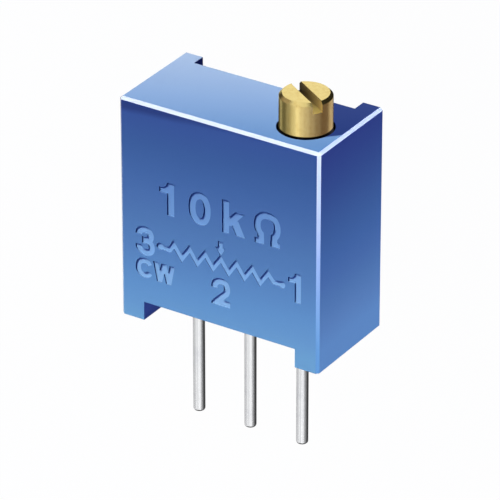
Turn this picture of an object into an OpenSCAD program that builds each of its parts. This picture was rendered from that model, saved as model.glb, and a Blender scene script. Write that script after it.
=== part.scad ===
// Multi-turn trimmer potentiometer, square body, top adjustment, three pins in line.
// A slotted brass screw carries a worm, the worm turns a moulded gear, and the gear
// carries a sprung wiper round a printed resistive track. Units are millimetres.
// The origin is on the middle pin's axis at the seating plane. +Z is up, the marked
// face looks towards -Y, and the screw is on the +X side.

/* [Housing] */
// Width across the row of pins
body_w = 9.53; // [9.53:0.01:9.7]
// Thickness, from the marked face to the rear ribs
body_d = 4.83; // [4.83:0.01:5.0]
// Height, from the seating plane to the top face
body_h = 10.03; // [10.03:0.01:10.3]
// Chamfer along the front and top edges
edge_chamfer = 0.12; // [0.05:0.01:0.2]
// Height of the two standoff feet
foot_h = 0.85; // [0.7:0.01:0.85]
// Width of each foot
foot_w = 1.12; // [1.0:0.01:1.12]
// Width of each rear rib, and so of each side wall
rib_w = 0.93; // [0.9:0.01:0.93]
// How far the rear ribs stand out behind the rear panel
rib_d = 0.65; // [0.5:0.01:0.7]
// Thickness of the front wall
front_wall = 0.60; // [0.55:0.01:0.6]
// Thickness of the floor over the feet
floor_t = 0.60; // [0.55:0.01:0.6]

/* [Adjusting screw] */
// Screw axis, measured from the right side of the housing
screw_from_side = 1.745; // [1.745:0.005:1.76]
// Screw axis, measured from the marked face
screw_from_front = 1.785; // [1.78:0.005:1.79]
// Diameter of the slotted head
head_d = 2.19; // [2.1:0.01:2.25]
// Height of the head above the top face
head_h = 1.52; // [1.3:0.01:1.6]
// Width of the screwdriver slot
slot_w = 0.42; // [0.4:0.01:0.56]
// Depth of the screwdriver slot
slot_deep = 0.45; // [0.4:0.01:0.76]
// Angle of the slot at mid travel, from the row of pins
slot_angle = -33; // [-90:1:90]
// Diameter of the shaft below the head
shaft_d = 1.52; // [1.5:0.01:1.53]

/* [Worm drive] */
// Teeth on the gear
gear_teeth = 32; // [32:1:32]
// Pitch radius of the gear
gear_pitch_r = 2.98; // [2.96:0.01:2.98]
// Pitch radius of the worm
worm_pitch_r = 0.62; // [0.62:0.01:0.63]
// Width of the gear's teeth
gear_w = 0.80; // [0.7:0.01:0.8]
// Height of the gear axle above the seating plane
gear_z = 4.90; // [4.88:0.01:4.92]
// Turns of the screw from one end of the track to the other
screw_turns = 25; // [20:1:25]

/* [Resistive element] */
// Thickness of the ceramic base
base_t = 0.64; // [0.6:0.01:0.64]
// Mean radius of the resistive track
track_r = 2.40; // [2.35:0.01:2.4]
// Width of the resistive track
track_w = 0.50; // [0.4:0.01:0.5]
// Mean radius of the collector ring
ring_r = 0.95; // [0.93:0.01:0.96]
// Width of the collector ring
ring_w = 0.46; // [0.4:0.01:0.46]
// Thickness of every printed film
film_t = 0.02; // [0.02:0.005:0.03]

/* [Pins] */
// Distance between pins
pin_pitch = 2.54; // [2.54:0.01:2.54]
// Diameter of each pin
pin_d = 0.51; // [0.48:0.01:0.51]
// Length of each pin below the seating plane
pin_len = 5.08; // [3:0.01:6]

/* [Hidden] */
$fn = 64;
tiny = 0.01;         // overshoot of a cut past a face
cut_out = 20;        // size of a cut that runs out of the part

// Planes of the housing
half_w = body_w / 2;
front_y = -body_d / 2;
rear_y = body_d / 2;
panel_y = rear_y - rib_d;
cavity_x = half_w - rib_w;
cavity_front_y = front_y + front_wall;
floor_z = foot_h + floor_t;

// Screw, from the head down. Heights are measured on the shaft.
screw_x = half_w - screw_from_side;
screw_y = front_y + screw_from_front;
head_r = head_d / 2;
head_chamfer = 0.13;
shaft_r = shaft_d / 2;
neck_r = 0.42;
seal_groove_r = 0.50;
run_gap = 0.05;                    // radial clearance of every turning fit
sink_r = head_r + 0.09;            // hole in the top face round the head
sink_z = body_h - 0.63;
head_bottom_z = sink_z + 0.05;
seal_groove_w = 0.32;
seal_groove_z = head_bottom_z - 0.23 - seal_groove_w;
clip_t = 0.20;
clip_z = seal_groove_z - 0.44;     // underside of the clip
clip_groove_w = clip_t + 0.08;
clip_groove_z = clip_z - 0.04;
clip_left = 1.12;                  // reach of the clip on the gear's side of the screw
clip_front = 0.57;                 // reach of the clip in front of the screw
clip_room = 0.05;                  // room round the clip in its slot
collar_h = 0.25;
ceiling_z = clip_z - 0.36;         // top of the gear's space
journal_end_z = foot_h + 0.30;

// Worm and gear
worm_lead = 2 * PI * gear_pitch_r / gear_teeth;
worm_crest_r = worm_pitch_r + 0.12;
worm_root_r = worm_pitch_r - 0.16;
gear_tip_r = gear_pitch_r + 0.11;
gear_root_r = gear_pitch_r - 0.19;
tooth_t = 0.40 * worm_lead;        // thread and tooth thickness at the pitch line
flank = tan(20);
lead_angle = atan(worm_lead / (2 * PI * worm_pitch_r));
gear_x = screw_x - gear_pitch_r - worm_pitch_r;
gear_front_y = screw_y - gear_w / 2;
gear_rear_y = screw_y + gear_w / 2;
gear_twist = gear_w * tan(lead_angle) / gear_pitch_r * 180 / PI;
worm_half_len = 1.60;
worm_steps_a_turn = 18;
half_travel = screw_turns * 360 / gear_teeth / 2;   // gear angle each side of the middle
axle_r = 0.70;
hub_r = 1.25;
hub_len = 0.59;
boss_h = 0.15;
cap_t = 0.22;                      // what is left of the gear over its blind bore
lug_in_r = 1.90;
lug_out_r = 2.60;
lug_half_angle = 10;
lug_len = 0.57;
stop_clearance = 0.09;             // between the stop's end and the gear's front face
stop_gap_angle = 1;
stop_half_angle = 180 - half_travel - lug_half_angle - stop_gap_angle;

// Element and wiper
pin_r = pin_d / 2;
film_y = pin_r;                    // front of the films, where the pins' tabs lie on the pads
base_y = film_y + film_t;
base_rear_y = base_y + base_t;
base_gap = 0.05;
wiper_t = 0.08;
wiper_contact_gap = 0.02;
finger_w = 0.13;
seal_back_y = panel_y - 0.065;
seal_top_z = clip_z + clip_t + 0.24;
pad_w = 0.80;
pad_top_z = 2.35;
pad_bottom_z = floor_z + base_gap + 0.05;
trace_w = 0.36;
end_angle = half_travel - 2.5;     // where the resistive film meets the end tracks
end_track_angle = 12;

// Pins
tab_w = 0.56;
tab_t = 0.30;
tab_top_z = 2.10;
tab_bottom_z = foot_h + 0.10;
pin_point = 0.14;
pin_slot_w = 0.62;
solder_w = 0.16;

// A flat outline drawn as seen from the front (x right, y up), given a thickness t that
// ends at the plane y = rear.
module upright(rear, t) {
    translate([0, rear, 0]) rotate([90, 0, 0]) linear_extrude(t) children();
}

// A flat outline in the gear's own centre, seen from the front
module on_gear(rear, t) {
    translate([gear_x, rear, gear_z]) rotate([90, 0, 0]) linear_extrude(t) children();
}

// A round pin or bore along Y, on the gear's axis
module gear_round(r, rear, t) {
    translate([gear_x, rear, gear_z]) rotate([90, 0, 0]) cylinder(r = r, h = t);
}

// Sector of a ring, centred on the angle mid from straight up, positive to the right
module ring_sector(r_in, r_out, mid, half) {
    reach = 3 * r_out;
    rest = 180 - half;
    difference() {
        circle(r_out);
        circle(r_in);
        polygon([[0, 0], for (i = [-2:2]) let (a = mid + 180 + rest * i / 2) reach * [sin(a), cos(a)]]);
    }
}

// Outline of the housing from above, with its front corners chamfered
module plan_outline() {
    c = edge_chamfer;
    polygon([
        [-half_w, rear_y], [-half_w, front_y + c], [-half_w + c, front_y],
        [half_w - c, front_y], [half_w, front_y + c], [half_w, rear_y]
    ]);
}

// Outline from the front, with its top corners chamfered and the feet below
module front_outline() {
    c = edge_chamfer;
    inner = half_w - foot_w;
    polygon([
        [-half_w, 0], [-inner, 0], [-inner, foot_h], [inner, foot_h], [inner, 0], [half_w, 0],
        [half_w, body_h - c], [half_w - c, body_h], [-half_w + c, body_h], [-half_w, body_h - c]
    ]);
}

// Outline from the side, with its top front corner chamfered
module side_outline() {
    c = edge_chamfer;
    polygon([
        [front_y, 0], [rear_y, 0], [rear_y, body_h], [front_y + c, body_h], [front_y, body_h - c]
    ]);
}

module housing_block() {
    intersection() {
        linear_extrude(body_h) plan_outline();
        upright(rear_y, body_d) front_outline();
        translate([-half_w, 0, 0]) rotate([90, 0, 90]) linear_extrude(body_w) side_outline();
    }
}

// Everything that the mould's core leaves empty, open to the rear
module housing_hollow() {
    rear_cut = cut_out;
    // space between the rear ribs
    translate([-cavity_x, panel_y, -tiny]) cube([2 * cavity_x, rear_cut, body_h + 1]);
    // space of the gear and the element
    translate([-cavity_x, cavity_front_y, floor_z])
        cube([2 * cavity_x, rear_cut, ceiling_z - floor_z]);
    // shallow well for the sealing compound, which also covers the clip's slot
    translate([-cavity_x, base_rear_y, floor_z])
        cube([2 * cavity_x, rear_cut, seal_top_z - floor_z]);
    // slot that the clip is pushed into
    clip_x = screw_x - clip_left - clip_room;
    translate([clip_x, screw_y - clip_front - clip_room, clip_z - tiny])
        cube([cavity_x - clip_x, rear_cut, clip_t + 2 * tiny]);
    // slots in the floor that the pins slide into
    for (x = [-pin_pitch, 0, pin_pitch]) {
        translate([x, 0, foot_h - tiny]) cylinder(d = pin_slot_w, h = floor_t + 2 * tiny);
        translate([x - pin_slot_w / 2, 0, foot_h - tiny])
            cube([pin_slot_w, rear_cut, floor_t + 2 * tiny]);
    }
}

// Posts and pads moulded on the inside of the front wall and the floor
module housing_inside() {
    wall = 0.20;   // how far each piece runs into the wall that it grows from
    root_y = cavity_front_y - wall;
    // axle of the gear, with the boss that the hub bears on
    axle_end_y = gear_rear_y - cap_t - run_gap;
    gear_round(axle_r, axle_end_y, axle_end_y - root_y);
    gear_round(hub_r, cavity_front_y + boss_h, boss_h + wall);
    // stop for the gear's lug, below the axle
    stop_end_y = gear_front_y - stop_clearance;
    on_gear(stop_end_y, stop_end_y - root_y)
        ring_sector(lug_in_r, lug_out_r, 180, stop_half_angle);
    // ledges in the four corners, which the ceramic base lies against
    ledge = 0.55;
    ledge_h = 0.85;
    right_ledge = 0.30;
    for (z = [floor_z - wall, ceiling_z - ledge_h + wall])
        translate([-cavity_x - wall, root_y, z]) cube([ledge + wall, base_y - root_y, ledge_h]);
    for (z = [floor_z - wall, ceiling_z - ledge_h + wall])
        translate([cavity_x - right_ledge, root_y, z])
            cube([right_ledge + wall, base_y - root_y, ledge_h]);
    // bearing block for the screw's lower journal
    block_left = 0.80;
    block_rear = 0.55;
    block_h = 0.75;
    translate([screw_x - block_left, root_y, floor_z - wall])
        cube([block_left + cavity_x - screw_x + wall, screw_y + block_rear - root_y, block_h + wall]);
}

module screw_bores() {
    translate([screw_x, screw_y, sink_z]) cylinder(r = sink_r, h = cut_out);
    translate([screw_x, screw_y, ceiling_z - tiny])
        cylinder(r = shaft_r + run_gap, h = sink_z - ceiling_z + 2 * tiny);
    translate([screw_x, screw_y, journal_end_z - run_gap])
        cylinder(r = neck_r + run_gap, h = 2);
}

module housing() {
    color([0.24, 0.40, 0.72])
    difference() {
        union() {
            difference() {
                housing_block();
                housing_hollow();
            }
            housing_inside();
        }
        screw_bores();
    }
}

// Epoxy poured in from the rear: it covers the ceramic base and closes the pins' slots
module back_seal() {
    tongue_y = pin_r + 0.04;
    tongue_gap = 0.05;   // from the floor's underside up to the compound in a pin's slot
    color([0.86, 0.83, 0.72])
    union() {
        translate([-cavity_x, base_rear_y, floor_z])
            cube([2 * cavity_x, seal_back_y - base_rear_y, seal_top_z - floor_z]);
        for (x = [-pin_pitch, 0, pin_pitch])
            translate([x - pin_slot_w / 2, tongue_y, foot_h + tongue_gap])
                cube([pin_slot_w, seal_back_y - tongue_y, floor_t - tongue_gap]);
    }
}

// Radius of the worm's section at an angle from the middle of its thread
function worm_radius(a) =
    let (crest = 180 * (tooth_t - 2 * (worm_crest_r - worm_pitch_r) * flank) / worm_lead,
         root = 180 * (tooth_t + 2 * (worm_pitch_r - worm_root_r) * flank) / worm_lead,
         share = (root - abs(a)) / (root - crest))
    worm_root_r + (worm_crest_r - worm_root_r) * min(1, max(0, share));

// Worm: a section of one thread, twisted along the screw (right-hand)
module worm() {
    step = 20;
    length = 2 * worm_half_len;
    turns = length / worm_lead;
    start = 180 - 360 * worm_half_len / worm_lead;
    translate([0, 0, gear_z - worm_half_len])
    rotate(start)
    linear_extrude(length, twist = -360 * turns, slices = round(turns * worm_steps_a_turn), $fn = 3)
        polygon([for (a = [-180:step:179]) worm_radius(a) * [cos(a), sin(a)]]);
}

// Turned outline of the screw without its thread: [radius, height] from the top down
module screw_outline() {
    top_z = body_h + head_h;
    worm_top = gear_z + worm_half_len;
    worm_end = gear_z - worm_half_len;
    groove_top = clip_groove_z + clip_groove_w;
    point = 0.08;
    overlap = 0.05;   // how far the shaft runs into each end of the worm
    polygon([
        [0, top_z], [head_r - head_chamfer, top_z], [head_r, top_z - head_chamfer],
        [head_r, head_bottom_z], [shaft_r, head_bottom_z],
        [shaft_r, seal_groove_z + seal_groove_w], [seal_groove_r, seal_groove_z + seal_groove_w],
        [seal_groove_r, seal_groove_z], [shaft_r, seal_groove_z],
        [shaft_r, groove_top], [neck_r, groove_top],
        [neck_r, clip_groove_z], [shaft_r, clip_groove_z],
        [shaft_r, clip_groove_z - collar_h], [neck_r, clip_groove_z - collar_h],
        [neck_r, worm_top - overlap], [0, worm_top - overlap]
    ]);
    polygon([
        [0, worm_end + overlap], [neck_r, worm_end + overlap], [neck_r, journal_end_z + point],
        [neck_r - point, journal_end_z], [0, journal_end_z]
    ]);
}

module adjusting_screw() {
    color([0.85, 0.70, 0.38])
    translate([screw_x, screw_y, 0])
    difference() {
        union() {
            rotate_extrude() screw_outline();
            worm();
        }
        translate([0, 0, body_h + head_h - slot_deep]) rotate(slot_angle)
            translate([-head_d, -slot_w / 2, 0]) cube([2 * head_d, slot_w, cut_out]);
    }
}

// O-ring between the shaft and its bore
module shaft_seal() {
    section_r = (shaft_r + run_gap - seal_groove_r) / 2 - 0.015;
    ring_mid_r = (shaft_r + run_gap + seal_groove_r) / 2;
    color([0.15, 0.15, 0.16])
    translate([screw_x, screw_y, seal_groove_z + seal_groove_w / 2])
        rotate_extrude() translate([ring_mid_r, 0]) circle(section_r, $fn = 24);
}

// Stamped fork that holds the screw down, pushed in from the rear
module retaining_clip() {
    gap = neck_r + run_gap;
    end_gap = 0.03;
    right = cavity_x - screw_x - end_gap;
    rear = base_rear_y - screw_y - end_gap;
    color([0.72, 0.73, 0.75])
    translate([screw_x, screw_y, clip_z])
    difference() {
        translate([-clip_left, -clip_front, 0]) cube([clip_left + right, rear + clip_front, clip_t]);
        translate([0, 0, -tiny]) cylinder(r = gap, h = clip_t + 2 * tiny);
        translate([-gap, -cut_out, -tiny]) cube([2 * gap, cut_out, clip_t + 2 * tiny]);
    }
}

// One tooth of the gear at an angle, as four corners: root, tip, tip, root
function tooth(a) =
    let (half = function (r) (tooth_t / 2 - (r - gear_pitch_r) * flank) / r * 180 / PI,
         at = function (r, b) [r * cos(b), r * sin(b)],
         root = half(gear_root_r),
         tip = half(gear_tip_r))
    [at(gear_root_r, a - root), at(gear_tip_r, a - tip),
     at(gear_tip_r, a + tip), at(gear_root_r, a + root)];

module gear_outline() {
    pitch = 360 / gear_teeth;
    polygon([for (i = [0:gear_teeth - 1]) each tooth((i + 0.5) * pitch)]);
}

// Rivets moulded on the gear's rear face, flattened over the wiper
rivets = [[-1.12, 0.35], [-1.12, 1.55]];
module rivet(p) {
    shank_r = 0.15;
    rivet_r = 0.24;
    rivet_h = 0.07;
    root = 0.1;       // how far the rivet runs into the disc
    translate([gear_x + p[0], gear_rear_y, gear_z + p[1]]) rotate([-90, 0, 0]) {
        translate([0, 0, -root]) cylinder(r = shank_r, h = root + wiper_t + rivet_h);
        translate([0, 0, wiper_t]) cylinder(r = rivet_r, h = rivet_h);
    }
}

module worm_gear() {
    root = 0.1;       // how far the hub and the lug run into the disc
    color([0.90, 0.90, 0.86])
    difference() {
        union() {
            translate([gear_x, gear_rear_y, gear_z]) rotate([90, 0, 0])
                rotate(-gear_twist / 2)
                linear_extrude(gear_w, twist = -gear_twist, slices = 1) gear_outline();
            gear_round(hub_r, gear_front_y + root, hub_len + root);
            on_gear(gear_front_y + root, lug_len + root)
                ring_sector(lug_in_r, lug_out_r, 0, lug_half_angle);
            for (p = rivets) rivet(p);
        }
        // blind bore that runs on the axle
        gear_round(axle_r + run_gap, gear_rear_y - cap_t, cut_out);
    }
}

// Side view of one wiper finger: [along the finger, out of the gear's face]
module finger_profile(root_x, rise) {
    toe = 0.20;
    toe_drop = 0.08;
    lap = 0.10;       // how far the finger runs into the bar
    t = wiper_t;
    polygon([
        [root_x - lap, 0], [root_x, 0], [0, rise - t], [toe, rise - t - toe_drop],
        [toe, rise - toe_drop], [0, rise], [root_x, t], [root_x - lap, t]
    ]);
}

// Stamped contact spring: a bar riveted to the gear, three fingers on the resistive
// track and two on the collector ring
module wiper() {
    bar_left = -1.42;
    bar_right = -0.82;
    bar_top_w = 0.30;
    bar_slope_h = 0.45;
    finger_pitch = 0.18;
    hole_r = 0.16;
    top = track_r + 0.26;
    bottom = -ring_r - 0.22;
    rise = film_y - wiper_contact_gap - gear_rear_y;
    track_fingers = [for (i = [-1:1]) track_r + finger_pitch * i];
    ring_fingers = [for (i = [-0.5, 0.5]) -ring_r + finger_pitch * i];
    color([0.93, 0.80, 0.50])
    difference() {
        union() {
            on_gear(gear_rear_y + wiper_t, wiper_t)
                polygon([
                    [bar_left, bottom], [bar_right, bottom], [bar_right, top],
                    [bar_right - bar_top_w, top], [bar_left, top - bar_slope_h]
                ]);
            for (z = concat(track_fingers, ring_fingers))
                translate([gear_x, gear_rear_y, gear_z + z - finger_w / 2])
                    linear_extrude(finger_w) finger_profile(bar_right, rise);
        }
        for (p = rivets)
            translate([gear_x + p[0], gear_rear_y - tiny, gear_z + p[1]])
                rotate([-90, 0, 0]) cylinder(r = hole_r, h = wiper_t + 2 * tiny);
    }
}

module ceramic_base() {
    color([0.95, 0.94, 0.90])
    translate([-cavity_x + base_gap, base_y, floor_z + base_gap])
        cube([2 * (cavity_x - base_gap), base_t, ceiling_z - floor_z - 2 * base_gap]);
}

// A printed film with its front at film_y
module film() {
    upright(base_y, film_t) children();
}

module resistive_track() {
    color([0.16, 0.15, 0.15])
    film() translate([gear_x, gear_z])
        ring_sector(track_r - track_w / 2, track_r + track_w / 2, 0, end_angle);
}

// Solder pad under one pin, down to the edge of the base
module pad(x) {
    translate([x - pad_w / 2, pad_bottom_z]) square([pad_w, pad_top_z - pad_bottom_z]);
}

module collector_track() {
    elbow = 0.30;     // height of the trace where it turns to the pad
    color([0.80, 0.80, 0.78])
    film() {
        translate([gear_x, gear_z]) difference() {
            circle(ring_r + ring_w / 2);
            circle(ring_r - ring_w / 2);
        }
        // straight trace down to the middle pad
        translate([gear_x - trace_w / 2, pad_top_z - elbow])
            square([trace_w, gear_z - ring_r - pad_top_z + elbow]);
        pad(0);
        translate([gear_x - trace_w / 2, pad_top_z - elbow]) square([-gear_x, elbow]);
    }
}

// End of the resistive track: an arc under the wiper's last degrees, and a trace to a pad.
// side is -1 for the left end and 1 for the right.
module end_track(side) {
    arc_mid = end_angle + end_track_angle / 2;
    inset = 0.04;
    function at(r, a) = [gear_x + side * r * sin(a), gear_z + r * cos(a)];
    outer = at(track_r + track_w / 2 - inset, end_angle + end_track_angle * 0.25);
    inner = at(track_r - track_w / 2 + inset, end_angle + end_track_angle * 0.94);
    pad_x = side * pin_pitch;
    pad_half = side * pad_w / 2;
    corners = [
        outer, inner, [inner[0] + side * 0.05, inner[1] - 0.45],
        [pad_x - pad_half, pad_top_z - 0.2], [pad_x + pad_half, pad_top_z - 0.2],
        [pad_x + pad_half, pad_top_z]
    ];
    color([0.80, 0.80, 0.78])
    film() {
        translate([gear_x, gear_z])
            ring_sector(track_r - track_w / 2, track_r + track_w / 2, side * arc_mid,
                        end_track_angle / 2);
        // counterclockwise on both sides
        polygon([for (i = side > 0 ? [0:5] : [5:-1:0]) corners[i]]);
        pad(pad_x);
    }
}
module end_track_1() { end_track(1); }
module end_track_3() { end_track(-1); }

// Round pin with a rounded end, and a flattened tab that is soldered to its pad
module pin(x) {
    color([0.80, 0.80, 0.80])
    translate([x, 0, 0]) {
        rotate_extrude()
            polygon([
                [0, -pin_len], [pin_r - pin_point, -pin_len], [pin_r - 0.04, -pin_len + 0.06],
                [pin_r, -pin_len + pin_point], [pin_r, tab_bottom_z], [0, tab_bottom_z]
            ]);
        translate([-tab_w / 2, pin_r - tab_t, tab_bottom_z - 0.001])
            cube([tab_w, tab_t, tab_top_z - tab_bottom_z + 0.001]);
    }
}
module pin_1() { pin(pin_pitch); }
module pin_2() { pin(0); }
module pin_3() { pin(-pin_pitch); }

// Solder round a pin's tab: a collar that slopes down to the pad on both sides and above
module solder(x) {
    half = tab_w / 2;
    side_w = solder_w * 0.7;
    rim = 0.03;
    rim_y = pin_r - 0.20;
    color([0.70, 0.71, 0.73])
    translate([x, 0, 0])
    difference() {
        intersection() {
            translate([0, 0, pad_bottom_z]) linear_extrude(cut_out)
                polygon([
                    [-half - side_w, film_y], [-half - rim, rim_y],
                    [half + rim, rim_y], [half + side_w, film_y]
                ]);
            translate([-cut_out / 2, 0, 0]) rotate([90, 0, 90]) linear_extrude(cut_out)
                polygon([
                    [film_y, 0], [film_y, tab_top_z + solder_w],
                    [rim_y, tab_top_z + rim], [rim_y, 0]
                ]);
        }
        translate([-half, rim_y - 1, 0]) cube([tab_w, film_y - rim_y + 1 + tiny, tab_top_z]);
    }
}
module solder_1() { solder(pin_pitch); }
module solder_2() { solder(0); }
module solder_3() { solder(-pin_pitch); }

housing();
back_seal();
adjusting_screw();
shaft_seal();
retaining_clip();
worm_gear();
wiper();
ceramic_base();
resistive_track();
collector_track();
end_track_1();
end_track_3();
pin_1();
pin_2();
pin_3();
solder_1();
solder_2();
solder_3();
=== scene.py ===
"""Looks of a multi-turn trimmer potentiometer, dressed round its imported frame.

Lengths are in millimetres while a piece is being made. A finished mesh is scaled to
metres, in the frame's own coordinates: X to the right, Y to the rear, Z up.
"""

import logging
import math
from dataclasses import dataclass, field
from enum import Enum, IntEnum
from typing import Iterable, Sequence

import bmesh
import bpy
from bmesh.types import BMEdge, BMesh, BMFace, BMVert
from bpy.types import Collection, ColorRamp, Material, Mesh, NodeSocket, NodeTree, Object
from mathutils import Matrix, Vector, noise
from mathutils.geometry import delaunay_2d_cdt


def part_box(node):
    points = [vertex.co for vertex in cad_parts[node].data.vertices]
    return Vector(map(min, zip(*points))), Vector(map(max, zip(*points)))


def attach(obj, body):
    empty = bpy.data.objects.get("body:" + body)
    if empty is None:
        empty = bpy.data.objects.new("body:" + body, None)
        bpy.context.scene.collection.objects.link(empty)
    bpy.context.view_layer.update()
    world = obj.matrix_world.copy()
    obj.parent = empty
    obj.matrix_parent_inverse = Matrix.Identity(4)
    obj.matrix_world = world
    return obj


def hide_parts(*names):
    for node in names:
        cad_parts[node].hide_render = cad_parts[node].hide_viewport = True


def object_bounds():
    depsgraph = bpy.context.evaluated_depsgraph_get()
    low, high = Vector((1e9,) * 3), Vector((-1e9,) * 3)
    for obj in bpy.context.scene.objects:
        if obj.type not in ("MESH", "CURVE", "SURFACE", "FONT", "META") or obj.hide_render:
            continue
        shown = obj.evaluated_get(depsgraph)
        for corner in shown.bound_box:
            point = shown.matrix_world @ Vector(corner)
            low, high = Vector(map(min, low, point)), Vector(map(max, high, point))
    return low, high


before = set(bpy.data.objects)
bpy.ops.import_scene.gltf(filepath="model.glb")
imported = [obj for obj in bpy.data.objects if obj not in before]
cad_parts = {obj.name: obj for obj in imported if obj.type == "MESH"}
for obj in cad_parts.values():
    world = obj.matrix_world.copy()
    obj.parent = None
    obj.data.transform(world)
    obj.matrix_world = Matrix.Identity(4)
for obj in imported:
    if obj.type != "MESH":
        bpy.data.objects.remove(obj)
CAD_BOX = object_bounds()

MM = 0.001
WELD = 1e-4  # millimetres within which two corners are one
ONE_FACE = math.radians(0.5)  # turn within which triangles make up one flat face
SHARP = math.radians(28)  # turn from which an edge is drawn sharp
ALIGNED = 0.9  # cosine from which a face counts as pointing along a direction
PARALLEL = 0.99  # the same, for a chamfer
MITRE_LIMIT = 0.3  # least cosine that a stroke's mitred corner allows for
MIX_A, MIX_B, MIX_RESULT = 6, 7, 2  # a Mix node's sockets for colours

Flat = tuple[float, float]
Place = tuple[float, float, float]
Colour = tuple[float, float, float]
Stops = tuple[tuple[float, str], ...]
Tone = tuple[float, float, Colour]
Outline = list[Flat]

WHITE = (1.0, 1.0, 1.0)
BLACK = (0.02, 0.02, 0.02)
PITCH_BLACK = (0.01, 0.01, 0.01)
SCREW_AXIS = (3.02, -0.63)

log = logging.getLogger("trimmer")


def linear(code: str) -> Colour:
    """Turns a display colour into scene-linear light.

    Args:
        code: six hexadecimal digits, two each for red, green and blue.

    Returns:
        The colour's linear red, green and blue.
    """
    toe, slope, offset, power = 0.04045, 12.92, 0.055, 2.4
    values = [int(code[i:i + 2], 16) / 255 for i in (0, 2, 4)]
    return tuple(v / slope if v <= toe else ((v + offset) / (1 + offset)) ** power for v in values)


def scaled(colour: Colour, gain: Colour) -> Colour:
    """Multiplies a colour by a gain, channel by channel."""
    return tuple(c * g for c, g in zip(colour, gain))


# ---------------------------------------------------------------- node trees


class Signal:
    """One socket of a node tree, which takes part in Python sums."""

    def __init__(self, tree: "Tree", socket: NodeSocket) -> None:
        """Keeps the tree and the output socket."""
        self.tree = tree
        self.socket = socket

    def other(self, name: str) -> "Signal":
        """Gives another output of the same node."""
        return Signal(self.tree, self.socket.node.outputs[name])

    def __add__(self, value: "Signal | float") -> "Signal":
        """Adds."""
        return self.tree.math("ADD", self, value)

    def __radd__(self, value: float) -> "Signal":
        """Adds, with the number first."""
        return self.tree.math("ADD", value, self)

    def __sub__(self, value: "Signal | float") -> "Signal":
        """Subtracts."""
        return self.tree.math("SUBTRACT", self, value)

    def __rsub__(self, value: float) -> "Signal":
        """Subtracts this from a number."""
        return self.tree.math("SUBTRACT", value, self)

    def __mul__(self, value: "Signal | float") -> "Signal":
        """Multiplies."""
        return self.tree.math("MULTIPLY", self, value)

    def __rmul__(self, value: float) -> "Signal":
        """Multiplies, with the number first."""
        return self.tree.math("MULTIPLY", value, self)

    def __truediv__(self, value: "Signal | float") -> "Signal":
        """Divides."""
        return self.tree.math("DIVIDE", self, value)

    def __rtruediv__(self, value: float) -> "Signal":
        """Divides a number by this."""
        return self.tree.math("DIVIDE", value, self)

    def within(self, low: float, high: float) -> "Signal":
        """Runs smoothly from 0 at low to 1 at high.

        Args:
            low: value that gives 0.
            high: value that gives 1.

        Returns:
            The result.
        """
        settings = {"interpolation_type": "SMOOTHSTEP"}
        values = {"Value": self, "From Min": low, "From Max": high, "To Min": 0.0, "To Max": 1.0}
        return self.tree.node("ShaderNodeMapRange", settings, values)


class Tree:
    """Nodes of one shader or geometry tree."""

    def __init__(self, tree: NodeTree) -> None:
        """Takes over a node tree and empties it."""
        self.tree = tree
        self.tree.nodes.clear()

    def node(self, kind: str, settings: dict | None = None, values: dict | None = None,
             output: str | int = 0) -> Signal | None:
        """Adds one node.

        Args:
            kind: the node's type.
            settings: its properties, set first. "stops" holds a ramp's stops.
            values: numbers, colours or Signals for its inputs, by name or number.
            output: the output to give back.

        Returns:
            The output asked for, or None where the node has none.
        """
        made = self.tree.nodes.new(kind)
        for name, setting in (settings or {}).items():
            if name == "stops":
                self._set_stops(made.color_ramp, setting)
            else:
                setattr(made, name, setting)
        for key, value in (values or {}).items():
            if isinstance(value, Signal):
                self.tree.links.new(value.socket, made.inputs[key])
            else:
                made.inputs[key].default_value = value
        outputs = made.outputs
        return Signal(self, outputs[output]) if len(outputs) else None

    @staticmethod
    def _set_stops(ramp: ColorRamp, stops: Sequence[tuple[float, Colour]]) -> None:
        """Sets a ramp's stops.

        Args:
            ramp: the ramp.
            stops: a place from 0 to 1 and a colour for each.
        """
        while len(ramp.elements) < len(stops):
            ramp.elements.new(1.0)
        for element, (place, colour) in zip(ramp.elements, stops):
            element.position = place
            element.color = (*colour, 1.0)

    def math(self, operation: str, *values: Signal | float) -> Signal:
        """Adds a Math node on one to three values."""
        return self.node("ShaderNodeMath", {"operation": operation}, dict(enumerate(values)))

    def mix(self, factor: Signal | float, a: Signal | Colour, b: Signal | Colour,
            blend: str = "MIX") -> Signal:
        """Mixes two colours.

        Args:
            factor: how much of the second colour shows.
            a: first colour.
            b: second colour.
            blend: how they are blended.

        Returns:
            The mixed colour.
        """
        a, b = [v if isinstance(v, Signal) else (*v, 1.0) for v in (a, b)]
        settings = {"data_type": "RGBA", "blend_type": blend}
        colours = {0: factor, MIX_A: a, MIX_B: b}
        return self.node("ShaderNodeMix", settings, colours, MIX_RESULT)


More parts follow.
